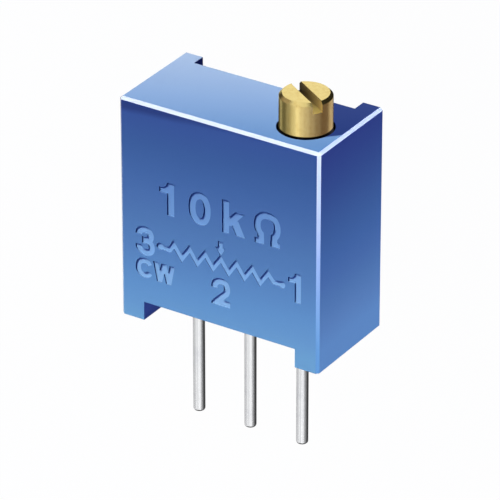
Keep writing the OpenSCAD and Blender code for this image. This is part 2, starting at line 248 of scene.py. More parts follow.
class Shader(Tree):
    """The node tree of one material."""

    def __init__(self, name: str) -> None:
        """Starts an empty material of that name.

        Args:
            name: the material's name.
        """
        self.material = bpy.data.materials.new(name)
        self.material.use_nodes = True
        super().__init__(self.material.node_tree)
        coordinates = self.node("ShaderNodeTexCoord", output="Object")
        per_mm = {"operation": "SCALE"}
        self.at = self.node("ShaderNodeVectorMath", per_mm, {0: coordinates, "Scale": 1 / MM})
        self.x = self.node("ShaderNodeSeparateXYZ", None, {0: self.at})
        self.y, self.z = self.x.other("Y"), self.x.other("Z")

    def noise(self, size: float, detail: float = 3.0, stretch: Place = (1, 1, 1),
              turn: float = 0.0) -> Signal:
        """Noise from 0 to 1 whose grains are about size millimetres across.

        Args:
            size: width of a grain.
            detail: octaves of finer noise.
            stretch: how much longer the grain is along X, Y and Z.
            turn: angle about Z, in radians, by which the pattern is turned first.

        Returns:
            The noise.
        """
        scale = tuple(1 / s for s in stretch)
        place = self.node("ShaderNodeMapping", None,
                          {"Vector": self.at, "Rotation": (0, 0, turn), "Scale": scale})
        return self.node("ShaderNodeTexNoise", None,
                         {"Vector": place, "Scale": 1 / size, "Detail": detail}, "Fac")

    def ramp(self, place: Signal, stops: Sequence[tuple[float, Colour]]) -> Signal:
        """Colours a value between 0 and 1 by a row of stops."""
        return self.node("ShaderNodeValToRGB", {"stops": stops}, {"Fac": place}, "Color")

    def bump(self, height: Signal, depth: float, strength: float = 1.0) -> Signal:
        """Turns a height from 0 to 1 into a normal, with depth in millimetres."""
        values = {"Height": height, "Distance": depth * MM, "Strength": strength}
        return self.node("ShaderNodeBump", None, values, "Normal")

    def radius(self, centre: Flat) -> Signal:
        """Distance from a vertical axis, in millimetres."""
        across, along = self.x - centre[0], self.y - centre[1]
        return self.math("SQRT", across * across + along * along)

    def finish(self, **values: object) -> Material:
        """Ends the tree in a Principled shader.

        Args:
            **values: the shader's inputs, by name with _ for spaces.

        Returns:
            The finished material.
        """
        named = {k.replace("_", " "): v for k, v in values.items()}
        for key, value in named.items():
            if key.endswith("Color") and not isinstance(value, Signal):
                named[key] = (*value, 1.0)
        shader = self.node("ShaderNodeBsdfPrincipled", None, named, "BSDF")
        self.node("ShaderNodeOutputMaterial", None, {"Surface": shader})
        return self.material


class Grower(Tree):
    """A Geometry Nodes tree that grows a shape from named sizes."""

    def __init__(self, name: str, sizes: dict[str, float | int]) -> None:
        """Starts an empty tree with an input for each size.

        Args:
            name: the tree's name.
            sizes: name and value of each size.
        """
        self.group = bpy.data.node_groups.new(name, "GeometryNodeTree")
        super().__init__(self.group)
        self.values: dict[str, float | int] = {}
        for label, value in sizes.items():
            kind = "NodeSocketInt" if isinstance(value, int) else "NodeSocketFloat"
            socket = self.group.interface.new_socket(label, in_out="INPUT", socket_type=kind)
            self.values[socket.identifier] = value
        self.group.interface.new_socket("Geometry", in_out="OUTPUT",
                                        socket_type="NodeSocketGeometry")
        self.given = self.node("NodeGroupInput")

    def size(self, label: str) -> Signal:
        """Gives one of the tree's named sizes."""
        return self.given.other(label)

    def vector(self, x: Signal | float, y: Signal | float, z: Signal | float) -> Signal:
        """Joins three numbers to a vector."""
        return self.node("ShaderNodeCombineXYZ", None, {"X": x, "Y": y, "Z": z})

    def rotated(self, shape: Signal, turn: Signal | Place) -> Signal:
        """Turns a shape about the origin."""
        return self.node("GeometryNodeTransform", None, {"Geometry": shape, "Rotation": turn})

    def grow(self, shape: Signal, material: Material) -> BMesh:
        """Ends the tree, runs it, and gives its mesh in the tree's own units.

        Args:
            shape: the geometry that it ends in.
            material: its material.

        Returns:
            The mesh.
        """
        plain = self.node("GeometryNodeRealizeInstances", None, {"Geometry": shape})
        painted = self.node("GeometryNodeSetMaterial", None,
                            {"Geometry": plain, "Material": material})
        self.node("NodeGroupOutput", None, {"Geometry": painted})
        bench = as_object(f"{self.group.name}_bench", bpy.data.meshes.new(self.group.name))
        modifier = bench.modifiers.new("grow", "NODES")
        modifier.node_group = self.group
        for identifier, value in self.values.items():
            modifier[identifier] = value
        grown = settled(bench)
        work = bmesh.new()
        work.from_mesh(grown)
        bpy.data.meshes.remove(grown)
        bmesh.ops.remove_doubles(work, verts=work.verts, dist=WELD)
        bmesh.ops.recalc_face_normals(work, faces=work.faces)
        return work


# ---------------------------------------------------------------- finishes
#
# In each finish a size is a mark's width in millimetres, roughness is that of the clean
# surface, a haze is how much rougher a mark is, an edge is where a mark begins and where
# it is full, and relief is the depth of its bump.


@dataclass(frozen=True)
class MouldedBlue:
    """Blue thermosetting plastic, with painted light and shade that run from one side of a face to
    the other.

    Attributes:
        name: the material's name.
        lean: direction of the painted shading, as a weight for each of X, Y and Z.
        shades: place along that direction, in millimetres, and display colour of each stop.
        gain: what the colours are multiplied by, to allow for the studio light.
        flow_stretch: how much longer a flow mark is along X, Y and Z.
        flow_shift: how far flow marks move the painted shading, as a part of its span.
        speck_tint: strength of the specks.
    """

    name: str
    lean: Place
    shades: Stops
    gain: Colour = WHITE
    roughness: float = 0.42
    specular: float = 0.2
    flow_size: float = 1.9
    flow_stretch: Place = (1.6, 1.0, 0.7)
    flow_shift: float = 0.03
    flow_haze: float = 0.05
    speck_size: float = 0.045
    speck_tint: float = 0.10
    grain_size: float = 0.07
    grain_haze: float = 0.12
    relief: float = 0.0015

    def material(self) -> Material:
        """Builds the material: painted shading, faint flow marks, and a fine moulded grain.

        Returns:
            The material.
        """
        shader = Shader(self.name)
        along = shader.x * self.lean[0] + shader.y * self.lean[1] + shader.z * self.lean[2]
        first, last = self.shades[0][0], self.shades[-1][0]
        span = last - first
        stops = [((place - first) / span, scaled(linear(code), self.gain))
                 for place, code in self.shades]
        flow = shader.noise(self.flow_size, detail=2.0, stretch=self.flow_stretch) - 0.5
        # The ramp's stops paint the light and shade along the lean.
        shaded = shader.ramp((along - first) / span + self.flow_shift * flow, stops)
        speck = shader.noise(self.speck_size, detail=2.0) - 0.5
        shaded = shader.mix(speck * self.speck_tint, shaded, WHITE, "OVERLAY")
        grain = shader.noise(self.grain_size)
        return shader.finish(
            Base_Color=shaded,
            Roughness=self.roughness + self.grain_haze * (grain - 0.5) + self.flow_haze * flow,
            Specular_IOR_Level=self.specular,
            Normal=shader.bump(grain, self.relief, strength=0.5),
        )


@dataclass(frozen=True)
class Epoxy:
    """Filled epoxy, poured and cured.

    Attributes:
        body: colour of its lighter clouds.
        shade: colour of its darker clouds.
        stain: colour of its pores.
        stain_depth: how strongly they are stained.
        pore_rate: number of pores along a millimetre.
    """

    name: str = "sealing_epoxy_cured"
    body: str = "E6D9AE"
    shade: str = "CDBB88"
    stain: str = "8A8166"
    stain_depth: float = 0.6
    cloud_size: float = 1.3
    filler_size: float = 0.10
    pore_rate: float = 2.4
    pore_edge: Flat = (0.03, 0.09)
    roughness: float = 0.30
    filler_haze: float = 0.20
    pore_haze: float = 0.15
    relief: float = 0.010

    def material(self) -> Material:
        """Builds the material: cloudy filler, tiny pores, and a soft gloss.

        Returns:
            The material.
        """
        shader = Shader(self.name)
        cloud = shader.noise(self.cloud_size, detail=4.0)
        filler = shader.noise(self.filler_size, detail=2.0)
        pores = shader.node("ShaderNodeTexVoronoi", {"feature": "F1"},
                            {"Vector": shader.at, "Scale": self.pore_rate}, "Distance")
        pore = 1.0 - pores.within(*self.pore_edge)
        colour = shader.mix(cloud, linear(self.shade), linear(self.body))
        colour = shader.mix(pore * self.stain_depth, colour, linear(self.stain))
        return shader.finish(
            Base_Color=colour,
            Roughness=self.roughness + self.filler_haze * filler + self.pore_haze * pore,
            Specular_IOR_Level=0.4,
            Normal=shader.bump(filler * 0.3 + cloud - pore, self.relief, strength=0.6),
        )


@dataclass(frozen=True)
class TurnedBrass:
    """Brass turned on a lathe: rings follow the axis of the screw.

    Attributes:
        axis: place of the screw's axis.
        rim: height of the case's top, below which the brass is painted near black, as shade in the
            gap.
        bright: colour of clean brass.
        deep: colour of lightly tarnished brass.
        gap_shade: colour of the painted shade in the gap.
        feed: radians of tool ring in a millimetre, across the head and along the shank.
        wobble: radians by which the rings wander.
        gap_shade_reach: how far above the rim the painted shade is full, and where it ends.
    """

    axis: Flat
    rim: float
    name: str = "screw_brass_turned"
    bright: str = "E9D48C"
    deep: str = "DFC67C"
    gap_shade: str = "060402"
    feed: Flat = (150.0, 170.0)
    wobble: float = 3.0
    wear_edge: Flat = (0.35, 0.75)
    gap_shade_reach: Flat = (0.04, 0.08)
    roughness: float = 0.24
    wear_haze: float = 0.04
    gap_haze: float = 0.3
    relief: float = 0.0005

    def material(self) -> Material:
        """Builds the material: tool rings, a little tarnish, and painted shade in the gap.

        Returns:
            The material.
        """
        shader = Shader(self.name)
        place = shader.radius(self.axis) * self.feed[0] + shader.z * self.feed[1]
        rings = shader.math("SINE", place + shader.noise(size=0.5, detail=2.0) * self.wobble)
        wear = shader.noise(size=0.16, detail=4.0)
        colour = shader.mix(wear.within(*self.wear_edge), linear(self.bright), linear(self.deep))
        # Painted shade: below the case's top the brass turns near black, as the gap round the head
        # is in shade.
        full, end = self.gap_shade_reach
        gap = 1.0 - shader.z.within(self.rim + full, self.rim + end)
        colour = shader.mix(gap, colour, linear(self.gap_shade))
        return shader.finish(
            Base_Color=colour,
            Metallic=1.0,
            Roughness=self.roughness + self.wear_haze * wear + self.gap_haze * gap,
            Anisotropic=0.4,
            Normal=shader.bump(rings * 0.5 + 0.5, self.relief, strength=0.2),
        )


@dataclass(frozen=True)
class SlotCut:
    """Faces of the screw's slot, milled, with painted shade and light that run from dark at one end
    to bright at the other.

    Attributes:
        axis: place of the screw's axis.
        angle: direction of the slot, in radians.
        reach: half its length.
        tones: place along the slot from 0 to 1 and display colour of each stop.
        metallic: how metallic it is.
        drift: how far the edge of the painted shade wanders, as a part of the length.
    """

    axis: Flat
    angle: float
    reach: float
    name: str
    tones: Stops
    metallic: float
    drift: float = 0.12
    roughness: float = 0.36
    drift_haze: float = 0.10
    relief: float = 0.0015

    def material(self) -> Material:
        """Builds the material: painted shade and light along the slot, over milling lines.

        Returns:
            The material.
        """
        shader = Shader(self.name)
        across, back = shader.x - self.axis[0], shader.y - self.axis[1]
        along = across * math.cos(self.angle) + back * math.sin(self.angle)
        drift = shader.noise(size=0.12)
        place = along / (2 * self.reach) + 0.5 + self.drift * (drift - 0.5)
        line = shader.noise(size=0.03, detail=2.0, stretch=(14.0, 1.0, 1.0), turn=self.angle)
        # Painted shade and light: the tones run from dark at one end of the slot to bright at the
        # other.
        stops = [(stop, linear(code)) for stop, code in self.tones]
        return shader.finish(
            Base_Color=shader.ramp(place, stops),
            Metallic=self.metallic,
            Roughness=self.roughness + self.drift_haze * drift,
            Normal=shader.bump(line, self.relief, strength=0.5),
        )


@dataclass(frozen=True)
class DrawnMetal:
    """Plated, drawn or rolled metal with fine lines along one axis.

    Attributes:
        bright: colour of the clean metal.
        dull: colour of its duller patches.
        stretch: how long the lines are along X, Y and Z.
    """

    name: str
    bright: str
    dull: str
    roughness: float = 0.25
    stretch: Place = (1.0, 1.0, 12.0)
    line_size: float = 0.035
    line_haze: float = 0.06
    patch_size: float = 0.8
    patch_edge: Flat = (0.4, 0.75)
    patch_haze: float = 0.05
    relief: float = 0.0005

    def material(self) -> Material:
        """Builds the material: draw lines, dull patches and fine scratches.

        Returns:
            The material.
        """
        shader = Shader(self.name)
        patch = shader.noise(self.patch_size)
        line = shader.noise(self.line_size, stretch=self.stretch)
        uneven = self.line_haze * (line - 0.5) + self.patch_haze * (patch - 0.5)
        return shader.finish(
            Base_Color=shader.mix(patch.within(*self.patch_edge), linear(self.bright),
                                  linear(self.dull)),
            Metallic=1.0,
            Roughness=self.roughness + uneven,
            Normal=shader.bump(line, self.relief, strength=0.2),
        )


@dataclass(frozen=True)
class Grainy:
    """A dull, fine-grained material: rubber, nylon, ceramic or a fired film.

    Attributes:
        light: colour of its lighter grains.
        dark: colour of its darker grains.
        grain: width of a grain.
        metallic: 1 for a metal film.
        patch: how many grains wide a patch is.
        patch_weight: how much of the tone comes from the patches.
        tone_edge: tones at which the light colour begins, and is full.
    """

    name: str
    light: str
    dark: str
    grain: float
    roughness: float
    relief: float = 0.003
    metallic: float = 0.0
    grain_haze: float = 0.16
    patch: float = 14.0
    patch_weight: float = 0.4
    tone_edge: Flat = (0.3, 0.7)

    def material(self) -> Material:
        """Builds the material: grains of two tones with a matching relief.

        Returns:
            The material.
        """
        shader = Shader(self.name)
        grain = shader.noise(self.grain, detail=4.0)
        patch = shader.noise(self.grain * self.patch, detail=2.0)
        tone = grain * (1 - self.patch_weight) + patch * self.patch_weight
        return shader.finish(
            Base_Color=shader.mix(tone.within(*self.tone_edge), linear(self.dark),
                                  linear(self.light)),
            Metallic=self.metallic,
            Roughness=self.roughness + self.grain_haze * (grain - 0.5),
            Normal=shader.bump(grain, self.relief, strength=0.6),
        )


# ---------------------------------------------------------------- mesh tools


def as_object(name: str, mesh: Mesh) -> Object:
    """Links a mesh to the scene as an object.

    Args:
        name: the object's name.
        mesh: its mesh.

    Returns:
        The object.
    """
    made = bpy.data.objects.new(name, mesh)
    bpy.context.scene.collection.objects.link(made)
    return made


def as_mesh(work: BMesh, name: str) -> Mesh:
    """Turns a bmesh into a mesh and frees it.

    Args:
        work: the bmesh.
        name: the mesh's name.

    Returns:
        The mesh.
    """
    mesh = bpy.data.meshes.new(name)
    work.to_mesh(mesh)
    work.free()
    return mesh


def settled(bench: Object) -> Mesh:
    """Applies an object's modifiers, gives the plain mesh, and removes the object.

    Args:
        bench: the object.

    Returns:
        The mesh.
    """
    depsgraph = bpy.context.evaluated_depsgraph_get()
    evaluated = bench.evaluated_get(depsgraph)
    mesh = bpy.data.meshes.new_from_object(evaluated, preserve_all_data_layers=True,
                                           depsgraph=depsgraph)
    rough = bench.data
    bpy.data.objects.remove(bench)
    if rough.users == 0:
        bpy.data.meshes.remove(rough)
    return mesh


def finished(name: str, work: BMesh, materials: Iterable[Material]) -> Object:
    """Turns a bmesh in millimetres into a finished piece in metres.

    Args:
        name: the piece's name.
        work: its mesh, which is freed.
        materials: its material slots, in order.

    Returns:
        The piece, with smooth faces and sharp edges.
    """
    work.normal_update()
    for face in work.faces:
        face.smooth = True
    for edge in work.edges:
        edge.smooth = edge.calc_face_angle(0.0) < SHARP
    rough = as_mesh(work, f"{name}_rough")
    for material in materials:
        rough.materials.append(material)
    bench = as_object(f"{name}_bench", rough)
    bench.modifiers.new("normals", "WEIGHTED_NORMAL").keep_sharp = True
    mesh = settled(bench)
    mesh.name = name
    mesh.transform(Matrix.Scale(MM, 4))
    return as_object(name, mesh)


def traced(node: str) -> BMesh:
    """Copies a CAD node in millimetres, with its triangles merged to flat faces.

    Args:
        node: the node's name.

    Returns:
        The mesh.
    """
    work = bmesh.new()
    work.from_mesh(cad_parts[node].data)
    bmesh.ops.scale(work, vec=(1 / MM,) * 3, verts=work.verts)
    bmesh.ops.remove_doubles(work, verts=work.verts, dist=WELD)
    bmesh.ops.dissolve_limit(work, angle_limit=ONE_FACE, verts=work.verts, edges=work.edges)
    return work


def turned(profile: Sequence[Flat], centre: Flat, steps: int) -> BMesh:
    """Turns a profile about a vertical axis.

    Args:
        profile: radius and height of each corner, from the bottom of the axis to its top.
        centre: place of the axis.
        steps: number of sides.

    Returns:
        A closed mesh.
    """
    work = bmesh.new()
    rings = []
    for radius, height in profile:
        if radius < WELD:
            rings.append([work.verts.new((*centre, height))])
            continue
        angles = [2 * math.pi * i / steps for i in range(steps)]
        rings.append([work.verts.new((centre[0] + radius * math.cos(a),
                                      centre[1] + radius * math.sin(a), height))
                      for a in angles])
    for low, high in zip(rings, rings[1:]):
        for i in range(steps):
            j = (i + 1) % steps
            corners = [low[i % len(low)], low[j % len(low)],
                       high[j % len(high)], high[i % len(high)]]
            work.faces.new(list(dict.fromkeys(corners)))
    bmesh.ops.recalc_face_normals(work, faces=work.faces)
    return work


def rounded(corners: Sequence[Place], steps: int = 4) -> Outline:
    """Rounds the corners of an open outline.

    Args:
        corners: across, up and fillet radius of each corner.
        steps: straight pieces in each fillet.

    Returns:
        The outline's points.
    """
    points: Outline = [corners[0][:2]]
    for before, here, after in zip(corners, corners[1:], corners[2:]):
        corner = Vector(here[:2])
        back, on = Vector(before[:2]) - corner, Vector(after[:2]) - corner
        if here[2] <= 0:
            points.append(tuple(corner))
            continue
        half = back.angle(on) / 2
        reach = here[2] / math.tan(half)
        start = corner + back.normalized() * reach
        end = corner + on.normalized() * reach
        for i in range(steps + 1):
            t = i / steps
            points.append(tuple(start * (1 - t) ** 2 + corner * 2 * t * (1 - t) + end * t ** 2))
    points.append(corners[-1][:2])
    return points


class Operation(Enum):
    """What a tool body does to the piece that it meets."""

    CUT = "DIFFERENCE"
    JOIN = "UNION"


def combined(base: BMesh, tool: BMesh, operation: Operation) -> BMesh:
    """Cuts a tool body out of a base, or joins it on.

    Args:
        base: the piece, which is freed.
        tool: the tool body, which is freed.
        operation: cut or join.

    Returns:
        The new mesh.
    """
    piece = as_object("bench_piece", as_mesh(base, "bench_piece"))
    body = as_object("bench_tool", as_mesh(tool, "bench_tool"))
    modifier = piece.modifiers.new("join", "BOOLEAN")
    modifier.solver = "EXACT"
    modifier.operation = operation.value
    modifier.object = body
    made = settled(piece)
    work = bmesh.new()
    work.from_mesh(made)
    bpy.data.meshes.remove(made)
    blade = body.data
    bpy.data.objects.remove(body)
    bpy.data.meshes.remove(blade)
    return work


def block(low: Sequence[float], high: Sequence[float]) -> BMesh:
    """Makes a plain box between two corners, as a cutting tool.

    Args:
        low: its lowest corner.
        high: its highest corner.

    Returns:
        The mesh.
    """
    work = bmesh.new()
    middle = [(a + b) / 2 for a, b in zip(low, high)]
    size = [b - a for a, b in zip(low, high)]
    matrix = Matrix.Translation(middle) @ Matrix.Diagonal((*size, 1.0))
    bmesh.ops.create_cube(work, size=1.0, matrix=matrix)
    return work


def prism(outline: Sequence[Flat], low: float, high: float) -> BMesh:
    """Raises a flat outline between two heights.

    Args:
        outline: corners of the outline.
        low: height of its floor.
        high: height of its top.

    Returns:
        The mesh.
    """
    work = bmesh.new()
    rings = [[work.verts.new((x, y, z)) for x, y in outline] for z in (low, high)]
    for ring in rings:
        work.faces.new(ring)
    for i in range(len(outline)):
        j = (i + 1) % len(outline)
        work.faces.new([rings[0][i], rings[0][j], rings[1][j], rings[1][i]])
    bmesh.ops.recalc_face_normals(work, faces=work.faces)
    return work


def hide(piece: Object, rays: Iterable[str]) -> None:
    """Hides a piece from some kinds of ray."""
    for ray in rays:
        setattr(piece, f"visible_{ray}", False)


def box_mm(node: str) -> tuple[Vector, Vector]:
    """Gives a CAD node's lowest and highest corners in millimetres."""
    low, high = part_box(node)
    return low / MM, high / MM


# ---------------------------------------------------------------- marks


def bow(centre: Flat, radii: Flat, start: float, end: float, steps: int = 18,
        power: float = 2.25) -> Outline:
    """Points along part of a squarish ellipse.

    Args:
        centre: middle of the ellipse.
        radii: half its width and half its height.
        start: first angle in degrees, counterclockwise from the right.
        end: last angle.
        steps: number of straight pieces.
        power: 2 for an ellipse, more for a squarer form.

    Returns:
        The points.
    """
    points = []
    for i in range(steps + 1):
        angle = math.radians(start + (end - start) * i / steps)
        across, up = math.cos(angle), math.sin(angle)
        points.append((centre[0] + radii[0] * math.copysign(abs(across) ** (2 / power), across),
                       centre[1] + radii[1] * math.copysign(abs(up) ** (2 / power), up)))
    return points


def ribbon(path: Sequence[Flat], width: float) -> Outline:
    """Outline of a stroke along a path, with mitred corners and square ends.

    Args:
        path: the path's points.
        width: width of the stroke.

    Returns:
        The outline.
    """
    points = [Vector(p) for p in path]
    legs = [(b - a).normalized() for a, b in zip(points, points[1:])]
    left, right = [], []
    for i, point in enumerate(points):
        before, after = legs[max(i - 1, 0)], legs[min(i, len(legs) - 1)]
        tangent = (before + after).normalized()
        side = Vector((-tangent.y, tangent.x))
        reach = width / 2 / max(MITRE_LIMIT, tangent.dot(after))
        left.append(tuple(point + side * reach))
        right.append(tuple(point - side * reach))
    return left + right[::-1]


def slab(foot: Flat, head: Flat, width: float) -> Outline:
    """Outline of a slanted bar whose ends are cut level, width wide along the level.

    Args:
        foot: middle of the lower end.
        head: middle of the upper end.
        width: width along the level.

    Returns:
        The outline.
    """
    half = width / 2
    return [(foot[0] - half, foot[1]), (foot[0] + half, foot[1]),
            (head[0] + half, head[1]), (head[0] - half, head[1])]


def bar(low: Flat, high: Flat) -> Outline:
    """Outline of an upright rectangle."""
    return [low, (high[0], low[1]), high, (low[0], high[1])]


@dataclass(frozen=True)
class Glyph:
    """One sunk letter or figure.

    Attributes:
        sign: the character.
        middle: across and up of its middle, from the front face's lower left corner.
        size: its width and height.
        stroke: width of its strokes.
    """

    sign: str
    middle: Flat
    size: Flat
    stroke: float

    def outlines(self) -> list[Outline]:
        """Gives the outlines of its strokes, which may overlap.

        Returns:
            The outlines, in the front face's place.
        """
        shapes = getattr(self, f"_draw_{self.sign}")()
        left, foot = [middle - size / 2 for middle, size in zip(self.middle, self.size)]
        return [[(x + left, z + foot) for x, z in shape] for shape in shapes]

    def _draw_0(self) -> list[Outline]:
        """Two bows that close on each other.

        Returns:
            Its outlines.
        """
        w, h, t = *self.size, self.stroke
        centre, radii = (w / 2, h / 2), ((w - t) / 2, (h - t) / 2)
        left, right = bow(centre, radii, 75, 285), bow(centre, radii, 255, 465)
        return [ribbon(left, t), ribbon(right, t)]

    def _draw_1(self) -> list[Outline]:
        """A stem with a flag.

        Returns:
            Its outlines.
        """
        w, h, t = *self.size, self.stroke
        brow, inner = 0.66 * h, w - t / 2
        flag = [(0, brow), (inner, brow), (inner, h), (w - 0.85 * t, h),
                (0.42 * w, 0.88 * h), (0.24 * w, 0.83 * h), (0, 0.82 * h)]
        return [bar((w - t, 0), (w, h)), flag]

    def _draw_2(self) -> list[Outline]:
        """A bow that runs down to a foot.

        Returns:
            Its outlines.
        """
        w, h, t = *self.size, self.stroke
        radii = ((w - t) / 2, 0.30 * h - t / 4)
        neck = bow((w / 2, h - radii[1] - t / 2), radii, 188, -34)
        foot = [(0, 0), (w, 0), (w, t), (0.45 * w, t), (0.02 * w, 0.55 * t)]
        return [ribbon([*neck, (0.56 * w, 0.34 * h), (0.64 * t, 0.42 * t)], t), foot]

    def _draw_3(self) -> list[Outline]:
        """Two bows that meet in a short tongue.

        Returns:
            Its outlines.
        """
        w, h, t = *self.size, self.stroke
        waist = 0.53 * h
        top = ((h - t / 2 + waist) / 2, (h - t / 2 - waist) / 2)
        low = ((waist + t / 2) / 2, (waist - t / 2) / 2)
        upper = bow((0.48 * w, top[0]), ((0.94 * w - t) / 2, top[1]), 184, -90)
        lower = bow((0.50 * w, low[0]), ((w - t) / 2, low[1]), 90, -184)
        return [ribbon(upper, t), ribbon(lower, t),
                bar((0.34 * w, waist - t / 2), (0.52 * w, waist + t / 2))]

    def _draw_C(self) -> list[Outline]:
        """A bow that is open to the right.

        Returns:
            Its outlines.
        """
        w, h, t = *self.size, self.stroke
        gap = 28
        centre, radii = (w / 2, h / 2), ((w - t) / 2, (h - t) / 2)
        return [ribbon(bow(centre, radii, gap, 360 - gap, steps=28), t)]

    def _draw_W(self) -> list[Outline]:
        """Four slanted bars.

        Returns:
            Its outlines.
        """
        w, h, t = *self.size, self.stroke
        wide = t * 1.08
        tops = (wide / 2, w / 2, w - wide / 2)
        feet = (0.285 * w, 0.715 * w)
        return [slab((feet[0], 0), (tops[0], h), wide), slab((feet[0], 0), (tops[1], h), wide),
                slab((feet[1], 0), (tops[1], h), wide), slab((feet[1], 0), (tops[2], h), wide)]

    def _draw_k(self) -> list[Outline]:
        """A stem with an arm and a leg.

        Returns:
            Its outlines.
        """
        w, h, t = *self.size, self.stroke
        wide = 1.35 * t
        return [bar((0, 0), (t, h)),
                slab((0.62 * t, 0.25 * h), (w - wide * 0.58, 0.72 * h), wide),
                slab((w - wide / 2, 0), (0.50 * w, 0.46 * h), wide)]

    def _draw_ohm(self) -> list[Outline]:
        """A horseshoe on two feet.

        Returns:
            Its outlines.
        """
        w, h, t = *self.size, self.stroke
        centre, radii = (w / 2, 0.57 * h), ((w - t) / 2, 0.43 * h - t / 2)
        arch = bow(centre, radii, -50, 230, steps=28)
        gap, edge, foot = 0.12 * w, 0.02 * w, 0.8 * t
        left, right = w / 2 - gap, w / 2 + gap
        path = [(right + t / 2, foot / 2), *arch, (left - t / 2, foot / 2)]
        return [ribbon(path, t), bar((edge, 0), (left, foot)), bar((right, 0), (w - edge, foot))]


@dataclass(frozen=True)
class ResistorSign:
    """The sunk circuit sign: a zigzag between two dots, with the wiper's arrow.

    Places are across and up from the front face's lower left corner.

    Attributes:
        swing: how far a peak is from the middle.
        lead: how far outside the zigzag its left and right leads bend.
        dip: how far below the middle they bend.
        barb: half the width, and the height, of the arrow's barbs.
    """

    left_dot: Flat = (1.93, 3.70)
    right_dot: Flat = (7.79, 3.64)
    dot_radius: float = 0.165
    first_peak: float = 2.59
    pitch: float = 0.754
    peaks: int = 7
    middle: float = 3.695
    swing: float = 0.27
    lead: Flat = (0.20, 0.26)
    dip: float = 0.04
    stroke: float = 0.225
    arrow_top: float = 4.76
    arrow_tip: float = 4.08
    barb: Flat = (0.25, 0.40)

    def _line(self) -> Outline:
        """Gives the corners of the line from dot to dot.

        Returns:
            The corners.
        """
        path = [self.left_dot, (self.first_peak - self.lead[0], self.middle - self.dip)]
        for i in range(2 * self.peaks - 1):
            height = self.middle + (self.swing if i % 2 == 0 else -self.swing)
            path.append((self.first_peak + i * self.pitch / 2, height))
        last = path[-1][0]
        return [*path, (last + self.lead[1], self.middle - self.dip), self.right_dot]

    def _arrow(self) -> list[Outline]:
        """Gives the outlines of the arrow's head and stem.

        Returns:
            The outlines.
        """
        centre = self.first_peak + (self.peaks - 1) * self.pitch / 2
        half, overlap = self.stroke / 2, 0.02
        wing, shoulder = self.barb[0], self.arrow_tip + self.barb[1]
        head = [(centre - wing, shoulder), (centre, self.arrow_tip), (centre + wing, shoulder)]
        return [head, bar((centre - half, shoulder - overlap), (centre + half, self.arrow_top))]

    def outlines(self) -> list[Outline]:
        """Gives the outlines of the line, the dots and the arrow.

        Returns:
            The outlines.
        """
        sides = 24
        radii = (self.dot_radius,) * 2
        dots = [bow(dot, radii, 0, 360 - 360 / sides, steps=sides - 1, power=2.0)
                for dot in (self.left_dot, self.right_dot)]
        return [ribbon(self._line(), self.stroke), *dots, *self._arrow()]


# ---------------------------------------------------------------- housing


class Skin(IntEnum):
    """Material slots of the housing, whose colours paint its light and shade."""

    WALL = 0
    TOP = 1
    UPRIGHT = 2
    FRONT_EDGE = 3
    SIDE_EDGE = 4
    MARK = 5
    SHADE = 6
    RECESS = 7
    SIDE = 8
    LIP = 9


